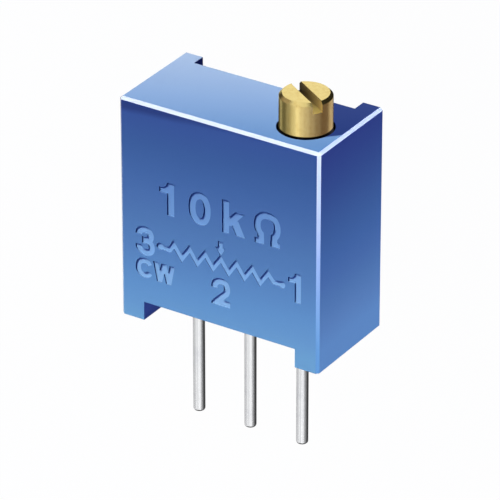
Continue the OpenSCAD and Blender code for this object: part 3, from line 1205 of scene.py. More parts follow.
@dataclass
class Housing:
    """The moulded case, with its sunk marks.

    Attributes:
        edge_round: how far the outer edges are rounded, in edge_steps flat strips.
        square: turn from which an edge counts as square, in radians.
        foot_height: height of the gap between the feet.
        slack: how far a face may be off its place.
        least_edge: area of the smallest chamfer that gets its own finish.
        wall_lean: how far across the front's shading leans.
        top_lean: how far across the top's shading leans.
        shade_right: how far to the right a mark's wall faces to be in shade.
        shade_rise: how far up it may then face at most.
        shade_down: how far down a wall faces to be in shade whatever its side.
        wall_gain: what the walls' colours are multiplied by. The other gains are alike.
    """

    mark_depth: float = 0.058
    edge_round: float = 0.03
    edge_steps: int = 2
    square: float = math.radians(60)
    foot_width: float = 1.0
    foot_height: float = 0.85
    sink_radius: float = 1.185
    slack: float = 0.02
    least_edge: float = 0.05
    wall_lean: float = -0.07
    top_lean: float = -0.44
    shade_right: float = 0.2
    shade_rise: float = 0.4
    shade_down: float = -0.2
    wall_gain: Colour = (0.99, 0.99, 0.84)
    side_gain: Colour = (1.72, 1.57, 1.20)
    top_gain: Colour = (0.92, 0.89, 0.83)
    mark_gain: Colour = (1.0, 1.0, 0.86)
    lip_gain: Colour = (0.62, 0.62, 0.60)
    upright_gain: Colour = (0.95, 0.95, 0.86)
    front_edge_gain: Colour = (0.57, 0.57, 0.59)
    side_edge_gain: Colour = (0.90, 0.90, 0.92)
    glyphs: tuple[Glyph, ...] = (
        Glyph("1", (2.28, 5.98), (0.72, 1.5), 0.34),
        Glyph("0", (3.87, 5.98), (1.06, 1.5), 0.33),
        Glyph("k", (5.50, 5.98), (1.10, 1.5), 0.33),
        Glyph("ohm", (7.10, 5.98), (1.26, 1.5), 0.31),
        Glyph("3", (1.205, 3.73), (0.94, 1.34), 0.30),
        Glyph("2", (4.87, 2.44), (0.90, 1.28), 0.29),
        Glyph("1", (8.40, 3.675), (0.60, 1.33), 0.29),
        Glyph("C", (1.15, 2.47), (0.84, 0.92), 0.25),
        Glyph("W", (2.11, 2.47), (1.05, 0.90), 0.225),
    )
    sign: ResistorSign = field(default_factory=ResistorSign)

    def __post_init__(self) -> None:
        """Reads the case's box from the frame."""
        self.low, self.high = box_mm("housing")

    def materials(self) -> list[Material]:
        """Builds the finishes of the slots, in the order of Skin, with the case's light and shade
        painted in.

        Returns:
            The materials.
        """
        # Painted shade: the walls darken towards the top, and the last stop paints a dark line just
        # under the top's chamfer.
        wall = ((0.3, "6EA2D4"), (1.0, "699AD1"), (2.0, "6292CC"), (3.6, "5882BE"),
                (5.0, "5178B4"), (6.0, "4B6FAE"), (7.2, "4366A6"), (8.4, "3C5D9D"),
                (9.7, "39549A"), (9.95, "2C3F80"))
        # Painted light: the marks' floors are lighter than the walls, as if lit, and darker towards
        # the top.
        mark = ((1.8, "88B2E4"), (3.6, "7EA9E0"), (6.2, "6A92CE"), (8.4, "5E81C1"))
        # Painted light: the top is paler than the walls, and paler still towards the back left.
        top = ((-3.6, "6796CA"), (0.5, "91B3DC"), (4.2, "ACC6E4"))
        # Painted shade: the right side darkens towards the top, in its own tones tuned for its
        # light.
        side = ((1.0, "5F8CC1"), (2.0, "5981B7"), (3.0, "5179AF"), (4.0, "496EA8"),
                (5.0, "4267A2"), (6.0, "3D609A"), (8.0, "344E8C"), (9.7, "2F4184"))
        # Painted shade: dark navy for the marks' walls that face away from the light.
        shade = ((0.3, "24407E"), (9.8, "1C2C62"))
        # Painted highlight: the upright chamfer is near white at the top and fades towards the
        # bottom.
        upright = ((0.3, "659BD1"), (1.2, "699ED3"), (2.2, "79A8DB"), (3.6, "8AB0E4"),
                   (5.2, "A2BDEE"), (7.2, "C2D4F9"), (9.6, "E0EBFF"))
        # Painted highlight: the chamfers along the top are near white.
        rim = ((9.9, "E4F1FF"), (10.1, "E4F1FF"))
        # Painted shade: the faces between the feet get their own tone for the shade there, and the
        # screw's sink turns near black.
        recess = ((0.0, "667EB2"), (0.4, "7995CB"), (1.5, "7995CB"), (8.0, "0A0A20"),
                  (9.5, "06060E"))
        upward = (0.0, 0.0, 1.0)
        leaning = (self.wall_lean, 0.0, 1.0)
        backward = (self.top_lean, 1.0, 0.0)
        start = self.top_lean * self.low.x + self.low.y  # the top's own front left corner
        top = tuple((place + start, code) for place, code in top)
        finishes = (
            MouldedBlue("housing_wall", leaning, wall, self.wall_gain),
            MouldedBlue("housing_top", backward, top, self.top_gain),
            MouldedBlue("housing_upright", upward, upright, self.upright_gain),
            MouldedBlue("housing_front_edge", upward, rim, self.front_edge_gain),
            MouldedBlue("housing_side_edge", upward, rim, self.side_edge_gain),
            MouldedBlue("housing_mark", leaning, mark, self.mark_gain),
            MouldedBlue("housing_mark_shade", upward, shade),
            MouldedBlue("housing_recess", upward, recess, roughness=0.6),
            MouldedBlue("housing_side", upward, side, self.side_gain),
            # The marks' lit walls: the marks' colours, dimmed as painted shade.
            MouldedBlue("housing_mark_lip", leaning, mark, self.lip_gain),
        )
        return [finish.material() for finish in finishes]

    def _outer_edges(self, work: BMesh) -> list[BMEdge]:
        """Finds the square edges on the outside of the case.

        Args:
            work: the case's mesh.

        Returns:
            The edges.
        """
        found = []
        for edge in work.edges:
            middle = (edge.verts[0].co + edge.verts[1].co) / 2
            outside = any(abs(middle[i] - end[i]) < self.slack / 10
                          for end in (self.low, self.high) for i in range(3))
            square = edge.calc_face_angle(0.0) > self.square
            if outside and square and edge.calc_face_angle_signed(0.0) > 0:
                found.append(edge)
        return found

    def _skin(self, normal: Vector) -> Skin:
        """Chooses a mark wall's finish: dark painted shade if it faces right or down, else the
        marks' colours, dimmed.
        """
        faces_right = normal.x > self.shade_right and normal.z < self.shade_rise
        return Skin.SHADE if faces_right or normal.z < self.shade_down else Skin.LIP

    def _plan(self, rim: list[BMVert]) -> tuple[list[Vector], list[list[int]]]:
        """Lays out the front face and the marks as points and closed outlines.

        Args:
            rim: the corners of the front face.

        Returns:
            The points, across and up, and each outline as a list of their numbers. The
            first outline is the face's own, and all run the same way round.
        """
        points = [Vector((v.co.x, v.co.z)) for v in rim]
        outlines = [list(range(len(rim)))]
        for shape in [o for glyph in self.glyphs for o in glyph.outlines()] + self.sign.outlines():
            outlines.append(list(range(len(points), len(points) + len(shape))))
            points += [Vector((x + self.low.x, z)) for x, z in shape]
        for outline in outlines:
            sides = zip(outline, outline[1:] + outline[:1])
            if sum(points[a].cross(points[b]) for a, b in sides) < 0:
                outline.reverse()
        return points, outlines

    def _sink_marks(self, work: BMesh) -> None:
        """Sinks the marks into the front face, which is flat and has one outline.

        Args:
            work: the case's mesh.
        """
        front = max((f for f in work.faces if f.normal.y < -PARALLEL), key=lambda f: f.calc_area())
        rim = list(front.verts)
        inside_only, nearness = 1, 1e-5
        points, outlines = self._plan(rim)
        spots, _, faces, spot_from, _, face_from = delaunay_2d_cdt(
            points, [], outlines, inside_only, nearness)
        bmesh.ops.delete(work, geom=[front], context="FACES_ONLY")
        skin = {i: rim[j] for i, origins in enumerate(spot_from) for j in origins if j < len(rim)}
        floor: dict[int, BMVert] = {}
        sides: dict[tuple[int, int], bool] = {}
        for corners, origins in zip(faces, face_from):
            sunk = any(origin > 0 for origin in origins)
            layer, depth = (floor, self.mark_depth) if sunk else (skin, 0.0)
            for i in corners:
                if i not in layer:
                    layer[i] = work.verts.new((spots[i].x, self.low.y + depth, spots[i].y))
            made = work.faces.new([layer[i] for i in corners])
            made.material_index = Skin.MARK if sunk else Skin.WALL
            for a, b in zip(corners, corners[1:] + corners[:1]):
                sides[(a, b)] = sunk
        for (a, b), sunk in sides.items():
            if sunk and sides.get((b, a)) is False:
                made = work.faces.new([skin[a], skin[b], floor[b], floor[a]])
                made.normal_update()
                made.material_index = self._skin(made.normal)
        work.normal_update()

    def _slot(self, face: BMFace) -> Skin:
        """Chooses the finish of a face by where it is and where it points.

        Args:
            face: a face of the case.

        Returns:
            Its finish.
        """
        middle, normal = face.calc_center_median(), face.normal
        if face.material_index in (Skin.MARK, Skin.SHADE, Skin.LIP):
            return Skin(face.material_index)
        under_top = middle.z < self.high.z - self.slack
        across = math.hypot(middle.x - SCREW_AXIS[0], middle.y - SCREW_AXIS[1])
        if across < self.sink_radius + self.slack / 2 and under_top:
            return Skin.RECESS
        between_feet = abs(middle.x) < self.high.x - self.foot_width
        gap_side = abs(normal.x) > ALIGNED or normal.z < -ALIGNED
        if between_feet and middle.z < self.foot_height + self.slack and gap_side:
            return Skin.RECESS
        edges = {Skin.UPRIGHT: (1, -1, 0), Skin.FRONT_EDGE: (0, -1, 1), Skin.SIDE_EDGE: (1, 0, 1)}
        for skin, way in edges.items():
            chamfer = normal.dot(Vector(way).normalized()) > PARALLEL
            if chamfer and face.calc_area() > self.least_edge:
                return skin
        if normal.z > ALIGNED and not under_top:
            return Skin.TOP
        if normal.x > ALIGNED and middle.x > self.high.x - self.slack:
            return Skin.SIDE
        return Skin.WALL

    def build(self) -> Object:
        """Makes the case and puts it on its body.

        Returns:
            The case.
        """
        work = traced("housing")
        bmesh.ops.bevel(work, geom=self._outer_edges(work), offset=self.edge_round,
                        offset_type="OFFSET", segments=self.edge_steps, profile=0.5,
                        affect="EDGES", clamp_overlap=True)
        for face in work.faces:
            face.material_index = Skin.WALL
        work.normal_update()
        self._sink_marks(work)
        for face in work.faces:
            face.material_index = self._slot(face)
        piece = finished("housing_shell", work, self.materials())
        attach(piece, "body")
        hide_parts("housing")
        return piece


# ---------------------------------------------------------------- screw


class Turned(IntEnum):
    """Material slots of the screw."""

    BRASS = 0
    SLOT_WALL = 1
    SLOT_FLOOR = 2


@dataclass
class AdjustingScrew:
    """The turned brass screw: head, grooves, worm and journal.

    Attributes:
        seal_groove: lower and upper end of the seal's groove, and its radius.
        clip_groove: lower and upper end of the clip's groove.
        worm_middle: height at which the thread's crest faces the gear.
        lead: how far the thread rises in a turn.
        thread_steps: straight pieces in a turn.
        sink: how far the thread reaches into the root.
        run_out: part of the thread's length over which each end runs out.
        run_out_low: how much of its radius is left at the very end.
        slot_edge: how far the slot's upper edges are broken.
        slot_angle: direction of the slot, in radians.
        wall_tones: colours along the slot's walls, dark at one end and bright at the other as
            painted shade and light, with wall_metal's share of metal.
        floor_tones: the same for its floor.
    """

    sides: int = 96
    head_radius: float = 1.095
    head_bottom: float = 9.45
    chamfer: float = 0.13
    shaft_radius: float = 0.76
    neck_radius: float = 0.42
    journal_chamfer: float = 0.08
    fillet: float = 0.02
    head_round: float = 0.03
    seal_groove: Place = (8.90, 9.22, 0.50)
    clip_groove: Flat = (8.42, 8.70)
    collar_bottom: float = 8.17
    worm_span: Flat = (3.30, 6.50)
    worm_middle: float = 4.90
    root_radius: float = 0.46
    crest_radius: float = 0.74
    lead: float = 0.58513
    thread_steps: int = 30
    crest_width: float = 0.1466
    root_width: float = 0.3505
    sink: float = 0.05
    run_out: float = 0.07
    run_out_low: float = 0.52
    slot_width: float = 0.42
    slot_depth: float = 0.45
    slot_edge: float = 0.018
    slot_angle: float = math.radians(-33)
    wall_tones: Stops = ((0.0, "3A2808"), (0.3, "86681E"), (1.0, "FFD668"))
    wall_metal: float = 0.4
    floor_tones: Stops = ((0.0, "3A2C12"), (0.5, "A08030"), (0.8, "FFDC60"))
    floor_metal: float = 0.2

    def __post_init__(self) -> None:
        """Reads the screw's ends and the case's top from the frame."""
        low, high = box_mm("adjusting_screw")
        self.bottom, self.top = low.z, high.z
        self.rim = box_mm("housing")[1].z

    def _mark_slot(self, work: BMesh, to_slot: Matrix) -> None:
        """Marks the slot's walls and floor as milled, and breaks its upper edges.

        Args:
            work: the screw's mesh.
            to_slot: turns a place into one along, across and above the slot.
        """
        half, floor = self.slot_width / 2, self.top - self.slot_depth
        for face in work.faces:
            middle = to_slot @ face.calc_center_median()
            off, over = abs(middle.y) - half, middle.z - floor
            if off < -WELD and abs(over) < WELD:
                face.material_index = Turned.SLOT_FLOOR
            elif abs(off) < WELD and over > 0:
                face.material_index = Turned.SLOT_WALL
            else:
                face.material_index = Turned.BRASS
        upper = [edge for edge in work.edges if all(
            vert.co.z > self.top - WELD and abs(abs((to_slot @ vert.co).y) - half) < 5 * WELD
            for vert in edge.verts)]
        bmesh.ops.bevel(work, geom=upper, offset=self.slot_edge, offset_type="OFFSET",
                        segments=1, profile=0.5, affect="EDGES", material=Turned.BRASS)

    def _profile(self) -> Outline:
        """Gives the turned outline from the journal's end to the head's top.

        Returns:
            The outline's points.
        """
        head, neck, shaft, root = (self.head_radius, self.neck_radius, self.shaft_radius,
                                   self.root_radius)
        worm_low, worm_high = self.worm_span
        seal_low, seal_high, seal = self.seal_groove
        clip_low, clip_high = self.clip_groove
        fine, cut = self.fillet, self.journal_chamfer
        return rounded([
            (0.0, self.bottom, 0), (neck - cut, self.bottom, fine), (neck, self.bottom + cut, fine),
            (neck, worm_low, 0), (root, worm_low, 0), (root, worm_high, 0), (neck, worm_high, 0),
            (neck, self.collar_bottom, 0), (shaft, self.collar_bottom, fine),
            (shaft, clip_low, fine), (neck, clip_low, 0), (neck, clip_high, 0),
            (shaft, clip_high, fine), (shaft, seal_low, fine), (seal, seal_low, fine),
            (seal, seal_high, fine), (shaft, seal_high, fine),
            (shaft, self.head_bottom, 0), (head, self.head_bottom, self.head_round),
            (head, self.top - self.chamfer, fine), (head - self.chamfer, self.top, fine),
            (0.0, self.top, 0),
        ])

    def _thread(self, brass: Material) -> BMesh:
        """Grows the worm's thread: a tapered section swept up a helix, sunk at both ends.

        Args:
            brass: the thread's material.

        Returns:
            The mesh.
        """
        start = self.worm_span[0] + self.root_width / 2
        rise = self.worm_span[1] - self.worm_span[0] - self.root_width
        slope = (self.root_width - self.crest_width) / (self.crest_radius - self.root_radius)
        grower = Grower("worm_thread", {
            "Turns": rise / self.lead, "Rise": rise, "Steps": self.thread_steps,
            "Radius": (self.crest_radius + self.root_radius - self.sink) / 2,
            "Height": self.crest_radius - self.root_radius + self.sink,
            "Root Width": self.root_width + self.sink * slope, "Crest Width": self.crest_width,
            "Run Out": self.run_out, "Run Out Low": self.run_out_low})
        radius, low = grower.size("Radius"), grower.size("Run Out Low")
        helix = grower.node("GeometryNodeCurveSpiral", None, {
            "Resolution": grower.size("Steps"), "Rotations": grower.size("Turns"),
            "Start Radius": radius, "End Radius": radius, "Height": grower.size("Rise"),
            "Reverse": True})
        along = grower.node("GeometryNodeSplineParameter", None, None, "Factor")
        near = grower.math("MINIMUM", along, 1.0 - along) / grower.size("Run Out")
        shrink = low + (1.0 - low) * grower.math("MINIMUM", near, 1.0)
        here = grower.node("GeometryNodeInputPosition")
        sunk = grower.node("ShaderNodeVectorMath", {"operation": "MULTIPLY"},
                           {0: here, 1: grower.vector(shrink, shrink, 1.0)})
        helix = grower.node("GeometryNodeSetPosition", None, {"Geometry": helix, "Position": sunk})
        helix = grower.node("GeometryNodeSetCurveNormal", {"mode": "Z_UP"}, {"Curve": helix})
        section = grower.node("GeometryNodeCurvePrimitiveQuadrilateral", {"mode": "TRAPEZOID"}, {
            "Height": grower.size("Height"), "Bottom Width": grower.size("Root Width"),
            "Top Width": grower.size("Crest Width"), "Offset": 0.0})
        section = grower.rotated(section, (0, 0, -math.pi / 2))
        thread = grower.node("GeometryNodeCurveToMesh", None, {
            "Curve": helix, "Profile Curve": section, "Fill Caps": True})
        work = grower.grow(thread, brass)
        phase = math.pi + 2 * math.pi * (start - self.worm_middle) / self.lead
        place = Matrix.Translation((*SCREW_AXIS, start)) @ Matrix.Rotation(phase, 4, "Z")
        bmesh.ops.transform(work, matrix=place, verts=work.verts)
        return work

    def build(self) -> Object:
        """Makes the screw and puts it on its body.

        Returns:
            The screw.
        """
        brass = TurnedBrass(SCREW_AXIS, self.rim).material()
        work = turned(self._profile(), SCREW_AXIS, self.sides)
        work = combined(work, self._thread(brass), Operation.JOIN)
        reach = 2 * self.head_radius
        tool = block((-reach, -self.slot_width / 2, self.top - self.slot_depth),
                     (reach, self.slot_width / 2, self.top + 1))
        turn = Matrix.Translation((*SCREW_AXIS, 0)) @ Matrix.Rotation(self.slot_angle, 4, "Z")
        bmesh.ops.transform(tool, matrix=turn, verts=tool.verts)
        work = combined(work, tool, Operation.CUT)
        self._mark_slot(work, turn.inverted())
        cut = (SCREW_AXIS, self.slot_angle, self.head_radius)
        wall = SlotCut(*cut, "screw_slot_wall", self.wall_tones, self.wall_metal).material()
        floor = SlotCut(*cut, "screw_slot_floor", self.floor_tones, self.floor_metal).material()
        piece = finished("adjusting_screw_turned", work, [brass, wall, floor])
        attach(piece, "screw")
        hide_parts("adjusting_screw")
        return piece


# ---------------------------------------------------------------- pins


@dataclass
class Pins:
    """The three round pins, each with a flattened tab inside the case.

    Attributes:
        point: radius of the rounded lower end.
        overlap: how far the tab reaches into the round part.
    """

    point: float = 0.11
    sides: int = 48
    tab_width: float = 0.56
    tab_depth: float = 0.30
    tab_bottom: float = 0.95
    overlap: float = 0.1

    def build(self) -> list[Object]:
        """Makes the pins and puts them on their body.

        Returns:
            The pins.
        """
        finish = DrawnMetal("pin_tinned", "E8E9EB", "DEDFE3", roughness=0.20).material()
        made = []
        for number in (1, 2, 3):
            node = f"pin_{number}"
            low, high = box_mm(node)
            middle, radius = (low.x + high.x) / 2, (high.y - low.y) / 2
            profile = rounded([(0.0, low.z, 0), (radius, low.z, self.point),
                               (radius, self.tab_bottom, 0), (0.0, self.tab_bottom, 0)], steps=5)
            work = turned(profile, (middle, 0.0), self.sides)
            half, foot = self.tab_width / 2, self.tab_bottom - self.overlap
            tab = block((middle - half, radius - self.tab_depth, foot),
                        (middle + half, radius, high.z))
            work = combined(work, tab, Operation.JOIN)
            piece = finished(f"{node}_drawn", work, [finish])
            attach(piece, "body")
            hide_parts(node)
            made.append(piece)
        return made


# ---------------------------------------------------------------- gear


@dataclass
class WormGear:
    """The moulded gear: toothed disc, hub with a blind bore, stop lug and rivets.

    It is made lying down, its rear face at height 0 and its front upwards.

    Attributes:
        middle: place of the rear face's middle in the case.
        width: width of the toothed disc.
        twist: angle by which a tooth is twisted over its width, in radians.
        tip_radius: radius over the teeth.
        root_radius: radius between them.
        tooth_sink: how far a tooth reaches into the disc.
        hub_length: how far the hub stands out.
        bore_floor: height of the bore's floor.
        mouth_round: radius of the corner round the bore's mouth.
        lug_span: inner and outer radius of the stop lug.
        lug_half_angle: half the angle that it takes up, in degrees.
        lug_length: how far it stands out.
        lug_steps: flat strips in half of it.
        rivet_radii: radii of a rivet's shank and head.
        rivet_head: height of the head.
        strip: thickness of the spring under the heads.
        overlap: how far the lug and the rivets reach into the disc, at least.
    """

    middle: Place = (-0.58, -0.23, 4.90)
    width: float = 0.80
    sides: int = 128
    teeth: int = 32
    twist: float = math.radians(2.31)
    tip_radius: float = 3.09
    root_radius: float = 2.79
    tip_width: float = 0.154
    root_width: float = 0.372
    tooth_round: float = 0.02
    tooth_sink: float = 0.06
    disc_round: float = 0.02
    hub_radius: float = 1.25
    hub_length: float = 0.59
    hub_round: float = 0.05
    bore_radius: float = 0.75
    bore_floor: float = 0.22
    bore_round: float = 0.03
    mouth_round: float = 0.04
    lug_span: Flat = (1.90, 2.60)
    lug_half_angle: float = 10.0
    lug_length: float = 0.57
    lug_steps: int = 4
    rivets: tuple[Flat, ...] = ((-1.12, 0.35), (-1.12, 1.55))
    rivet_radii: Flat = (0.15, 0.24)
    rivet_head: float = 0.07
    rivet_round: float = 0.05
    rivet_sides: int = 32
    strip: float = 0.08
    overlap: float = 0.05

    def _disc(self) -> BMesh:
        """Turns the disc with its hub and bore.

        Returns:
            The mesh.
        """
        top = self.width + self.hub_length
        outline = rounded([
            (0.0, 0.0, 0), (self.root_radius, 0.0, self.disc_round),
            (self.root_radius, self.width, self.disc_round),
            (self.hub_radius, self.width, self.hub_round), (self.hub_radius, top, self.hub_round),
            (self.bore_radius, top, self.mouth_round),
            (self.bore_radius, self.bore_floor, self.bore_round), (0.0, self.bore_floor, 0),
        ], steps=3)
        return turned(outline, (0.0, 0.0), self.sides)

    def _toothing(self, nylon: Material) -> BMesh:
        """Grows the teeth: one tooth set round a ring, then all twisted together.

        Args:
            nylon: the teeth's material.

        Returns:
            The mesh.
        """
        slope = (self.root_width - self.tip_width) / (self.tip_radius - self.root_radius)
        height = self.tip_radius - self.root_radius + self.tooth_sink
        grower = Grower("gear_teeth", {
            "Teeth": self.teeth, "Ring": self.tip_radius - height / 2, "Height": height,
            "Tip Width": self.tip_width, "Root Width": self.root_width + self.tooth_sink * slope,
            "Width": self.width, "Twist": self.twist, "Round": self.tooth_round})
        pitch = 2 * math.pi / grower.size("Teeth")
        ring = grower.node("GeometryNodeMeshCircle", None, {
            "Vertices": grower.size("Teeth"), "Radius": grower.size("Ring")})
        outline = grower.node("GeometryNodeCurvePrimitiveQuadrilateral", {"mode": "TRAPEZOID"}, {
            "Height": grower.size("Height"), "Bottom Width": grower.size("Root Width"),
            "Top Width": grower.size("Tip Width"), "Offset": 0.0})
        outline = grower.node("GeometryNodeFilletCurve", {"mode": "POLY"}, {
            "Curve": outline, "Count": 2, "Radius": grower.size("Round")})
        face = grower.node("GeometryNodeFillCurve", {"mode": "NGONS"}, {"Curve": outline})
        tooth = grower.node("GeometryNodeExtrudeMesh", None, {
            "Mesh": face, "Offset": (0, 0, 1), "Offset Scale": grower.size("Width"),
            "Individual": False})
        floor = grower.node("GeometryNodeFlipFaces", None, {"Mesh": face})
        tooth = grower.node("GeometryNodeJoinGeometry", None, {"Geometry": tooth})
        grower.tree.links.new(floor.socket, tooth.socket.node.inputs[0])
        turn = grower.node("GeometryNodeInputIndex") * pitch - math.pi / 2
        teeth = grower.node("GeometryNodeInstanceOnPoints", None, {
            "Points": ring, "Instance": tooth, "Rotation": grower.vector(0.0, 0.0, turn)})
        teeth = grower.node("GeometryNodeRealizeInstances", None, {"Geometry": teeth})
        teeth = grower.rotated(teeth, grower.vector(0.0, 0.0, pitch / 2))
        here = grower.node("GeometryNodeInputPosition")
        up = grower.node("ShaderNodeSeparateXYZ", None, {0: here}, "Z")
        angle = (up / grower.size("Width") - 0.5) * grower.size("Twist")
        spun = grower.node("ShaderNodeVectorRotate", {"rotation_type": "Z_AXIS"},
                           {"Vector": here, "Angle": angle})
        teeth = grower.node("GeometryNodeSetPosition", None, {"Geometry": teeth, "Position": spun})
        return grower.grow(teeth, nylon)

    def _lug(self) -> BMesh:
        """Makes the lug that meets the case at each end of the travel.

        Returns:
            The mesh.
        """
        inner, outer = self.lug_span
        step = math.radians(self.lug_half_angle) / self.lug_steps
        angles = [math.pi / 2 + i * step for i in range(-self.lug_steps, self.lug_steps + 1)]
        outline = [(outer * math.cos(a), outer * math.sin(a)) for a in angles]
        outline += [(inner * math.cos(a), inner * math.sin(a)) for a in reversed(angles)]
        return prism(outline, self.width - self.overlap, self.width + self.lug_length)

    def _rivet(self, place: Flat) -> BMesh:
        """Turns a rivet, flattened over the spring on the rear face.

        Args:
            place: place of its axis.

        Returns:
            The rivet's mesh.
        """
        shank, head = self.rivet_radii
        low, high = -self.strip - self.rivet_head, 2 * self.overlap
        outline = rounded([(0.0, low, 0), (head, low, self.rivet_round), (head, -self.strip, 0),
                           (shank, -self.strip, 0), (shank, high, 0), (0.0, high, 0)])
        return turned(outline, place, self.rivet_sides)

    def build(self) -> Object:
        """Makes the gear and puts it on its body.

        Returns:
            The gear.
        """
        nylon = Grainy("gear_nylon_moulded", "EDEADD", "DAD5C2", grain=0.12,
                       roughness=0.48).material()
        work = combined(self._disc(), self._toothing(nylon), Operation.JOIN)
        for tool in (self._lug(), *[self._rivet(place) for place in self.rivets]):
            work = combined(work, tool, Operation.JOIN)
        place = Matrix.Translation(self.middle) @ Matrix.Rotation(math.pi / 2, 4, "X")
        bmesh.ops.transform(work, matrix=place, verts=work.verts)
        piece = finished("worm_gear_moulded", work, [nylon])
        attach(piece, "gear")
        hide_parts("worm_gear")
        return piece


# ---------------------------------------------------------------- back seal


@dataclass
class BackSeal:
    """Epoxy poured into the rear of the case, which climbs a little up its walls.

    Attributes:
        climb: how far it climbs at a wall.
        climb_reach: distance from the wall over which the climb fades.
        sag: how far its middle sinks.
        sag_reach: distance from the wall over which it sinks.
        coarse: ripples in a millimetre, and the layer of noise that they come from.
        fine: the same, for the finer ripples.
        fine_weight: height of the finer ripples, as a part of the coarse ones'.
        pitch: distance between the surface's grid lines.
        near_wall: distances from a wall at which more grid lines stand.
        foot: height of its lower end.
    """

    climb: float = 0.050
    climb_reach: float = 0.16
    sag: float = 0.025
    sag_reach: float = 0.9
    ripple: float = 0.012
    coarse: Flat = (0.7, 4.0)
    fine: Flat = (2.1, 9.0)
    fine_weight: float = 0.4
    pitch: float = 0.30
    near_wall: tuple[float, ...] = (0.05, 0.11, 0.19, 0.30, 0.45)
    foot: float = 1.45

    def _cuts(self, low: float, high: float) -> list[float]:
        """Gives the places of the grid lines between two walls, closer near the walls.

        Args:
            low: place of one wall.
            high: place of the other.

        Returns:
            The places.
        """
        inner = [low + self.near_wall[-1], high - self.near_wall[-1]]
        count = max(1, round((inner[1] - inner[0]) / self.pitch))
        steps = [inner[0] + (inner[1] - inner[0]) * i / count for i in range(1, count)]
        near = [low + d for d in self.near_wall] + [high - d for d in self.near_wall]
        return sorted(near + steps)

    def _surface(self, x: float, z: float, low: Vector, high: Vector) -> float:
        """Gives how far the cured surface stands out at a place on the rear.

        Args:
            x: place across.
            z: height.
            low: the seal's lowest corner.
            high: its highest corner.

        Returns:
            The distance.
        """
        wall = max(0.0, min(x - low.x, high.x - x, high.z - z, z - self.foot))
        lift = self.climb * math.exp(-wall / self.climb_reach)
        lift -= self.sag * (1 - math.exp(-wall / self.sag_reach))
        coarse, fine = [noise.noise(Vector((x * rate, z * rate, layer)))
                        for rate, layer in (self.coarse, self.fine)]
        return lift + self.ripple * (coarse + self.fine_weight * fine)

    def build(self) -> Object:
        """Makes the seal and puts it on its body.

        Returns:
            The seal.
        """
        work = traced("back_seal")
        low, high = box_mm("back_seal")
        cuts = [(Vector((x, 0, 0)), Vector((1, 0, 0))) for x in self._cuts(low.x, high.x)]
        cuts += [(Vector((0, 0, z)), Vector((0, 0, 1))) for z in self._cuts(self.foot, high.z)]
        for place, way in cuts:
            geometry = [*work.verts, *work.edges, *work.faces]
            bmesh.ops.bisect_plane(work, geom=geometry, plane_co=place, plane_no=way, dist=WELD)
        for vert in work.verts:
            if vert.co.y > high.y - WELD:
                vert.co.y += self._surface(vert.co.x, vert.co.z, low, high)
        piece = finished("back_seal_poured", work, [Epoxy().material()])
        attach(piece, "body")
        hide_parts("back_seal")
        return piece


# ---------------------------------------------------------------- inner parts


@dataclass
class InnerParts:
    """CAD nodes that keep their shape and get their own finishes."""

    def finishes(self) -> dict[str, Material]:
        """Builds the finish of each node.

        Returns:
            The material for each node's name.
        """
        silver = Grainy("silver_film_fired", "D2D0C8", "A9A79E", grain=0.03, roughness=0.45,
                        relief=0.002, metallic=1.0).material()
        solder = Grainy("solder_reflowed", "C9CCD1", "A4A7AD", grain=0.09, roughness=0.28,
                        relief=0.004, metallic=1.0).material()
        return {
            "shaft_seal": Grainy("seal_rubber_moulded", "2B2B2E", "19191B", grain=0.05,
                                 roughness=0.62).material(),
            "retaining_clip": DrawnMetal("clip_steel_rolled", "C4C6CA", "A2A4A9", roughness=0.32,
                                         stretch=(10.0, 1.0, 1.0)).material(),
            "wiper": DrawnMetal("wiper_spring_alloy", "EBCB86", "D0AC63", roughness=0.24,
                                stretch=(1.0, 1.0, 10.0)).material(),
            "ceramic_base": Grainy("alumina_fired", "F1EEE6", "E2DDD0", grain=0.04,
                                   roughness=0.70).material(),
            "resistive_track": Grainy("cermet_film_fired", "2E2D30", "1B1B1E", grain=0.025,
                                      roughness=0.55).material(),
            **dict.fromkeys(("collector_track", "end_track_1", "end_track_3"), silver),
            **dict.fromkeys(("solder_1", "solder_2", "solder_3"), solder),
        }

    def dress(self) -> None:
        """Puts each finish on its node's slots."""
        for node, material in self.finishes().items():
            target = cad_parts[node]
            for slot in target.material_slots:
                slot.material = material
            log.info("dressed %s with %s", node, material.name)


# ---------------------------------------------------------------- studio


def direction(azimuth: float, elevation: float) -> Vector:
    """Direction from the part to a viewer at an azimuth and elevation in degrees."""
    turn, rise = math.radians(azimuth), math.radians(elevation)
    level = math.cos(rise)
    return Vector((math.sin(turn) * level, -math.cos(turn) * level, math.sin(rise)))


class Keep(Enum):
    """What a beam lights: the case above its edge, the case below, or the edge alone."""

    ABOVE = 1
    BELOW = -1
    ONLY = 0


class Edge(Enum):
    """Chamfered edges of the case: the side that each is on, 0 along the edge."""

    FRONT_TOP = (0, -1, 1)
    SIDE_TOP = (1, 0, 1)
    UPRIGHT = (1, -1, 0)


@dataclass(frozen=True)
class Beam:
    """Parallel light, cut off along an edge of the case.

    Attributes:
        azimuth: where it comes from, in degrees.
        elevation: how high it comes from.
        edge: the edge along which it is cut.
        keep: what it lights.
        level: how bright it makes a white face square to it.
        spread: its full angle, in degrees.
        inset: how far the cut lies in from the edge's corner.
    """

    name: str
    azimuth: float
    elevation: float
    edge: Edge
    keep: Keep
    level: float
    colour: Colour = WHITE
    spread: float = 0.5
    inset: float = 0.12


@dataclass(frozen=True)
class Flag:
    """Black card that keeps one beam off a patch of the case.

    Attributes:
        beam: name of the beam that it stops.
        patch: corners of the patch.
        lift: how far it stands from the patch, towards the lamp.
    """

    name: str
    beam: str
    patch: tuple[Place, ...]
    lift: float = 0.5


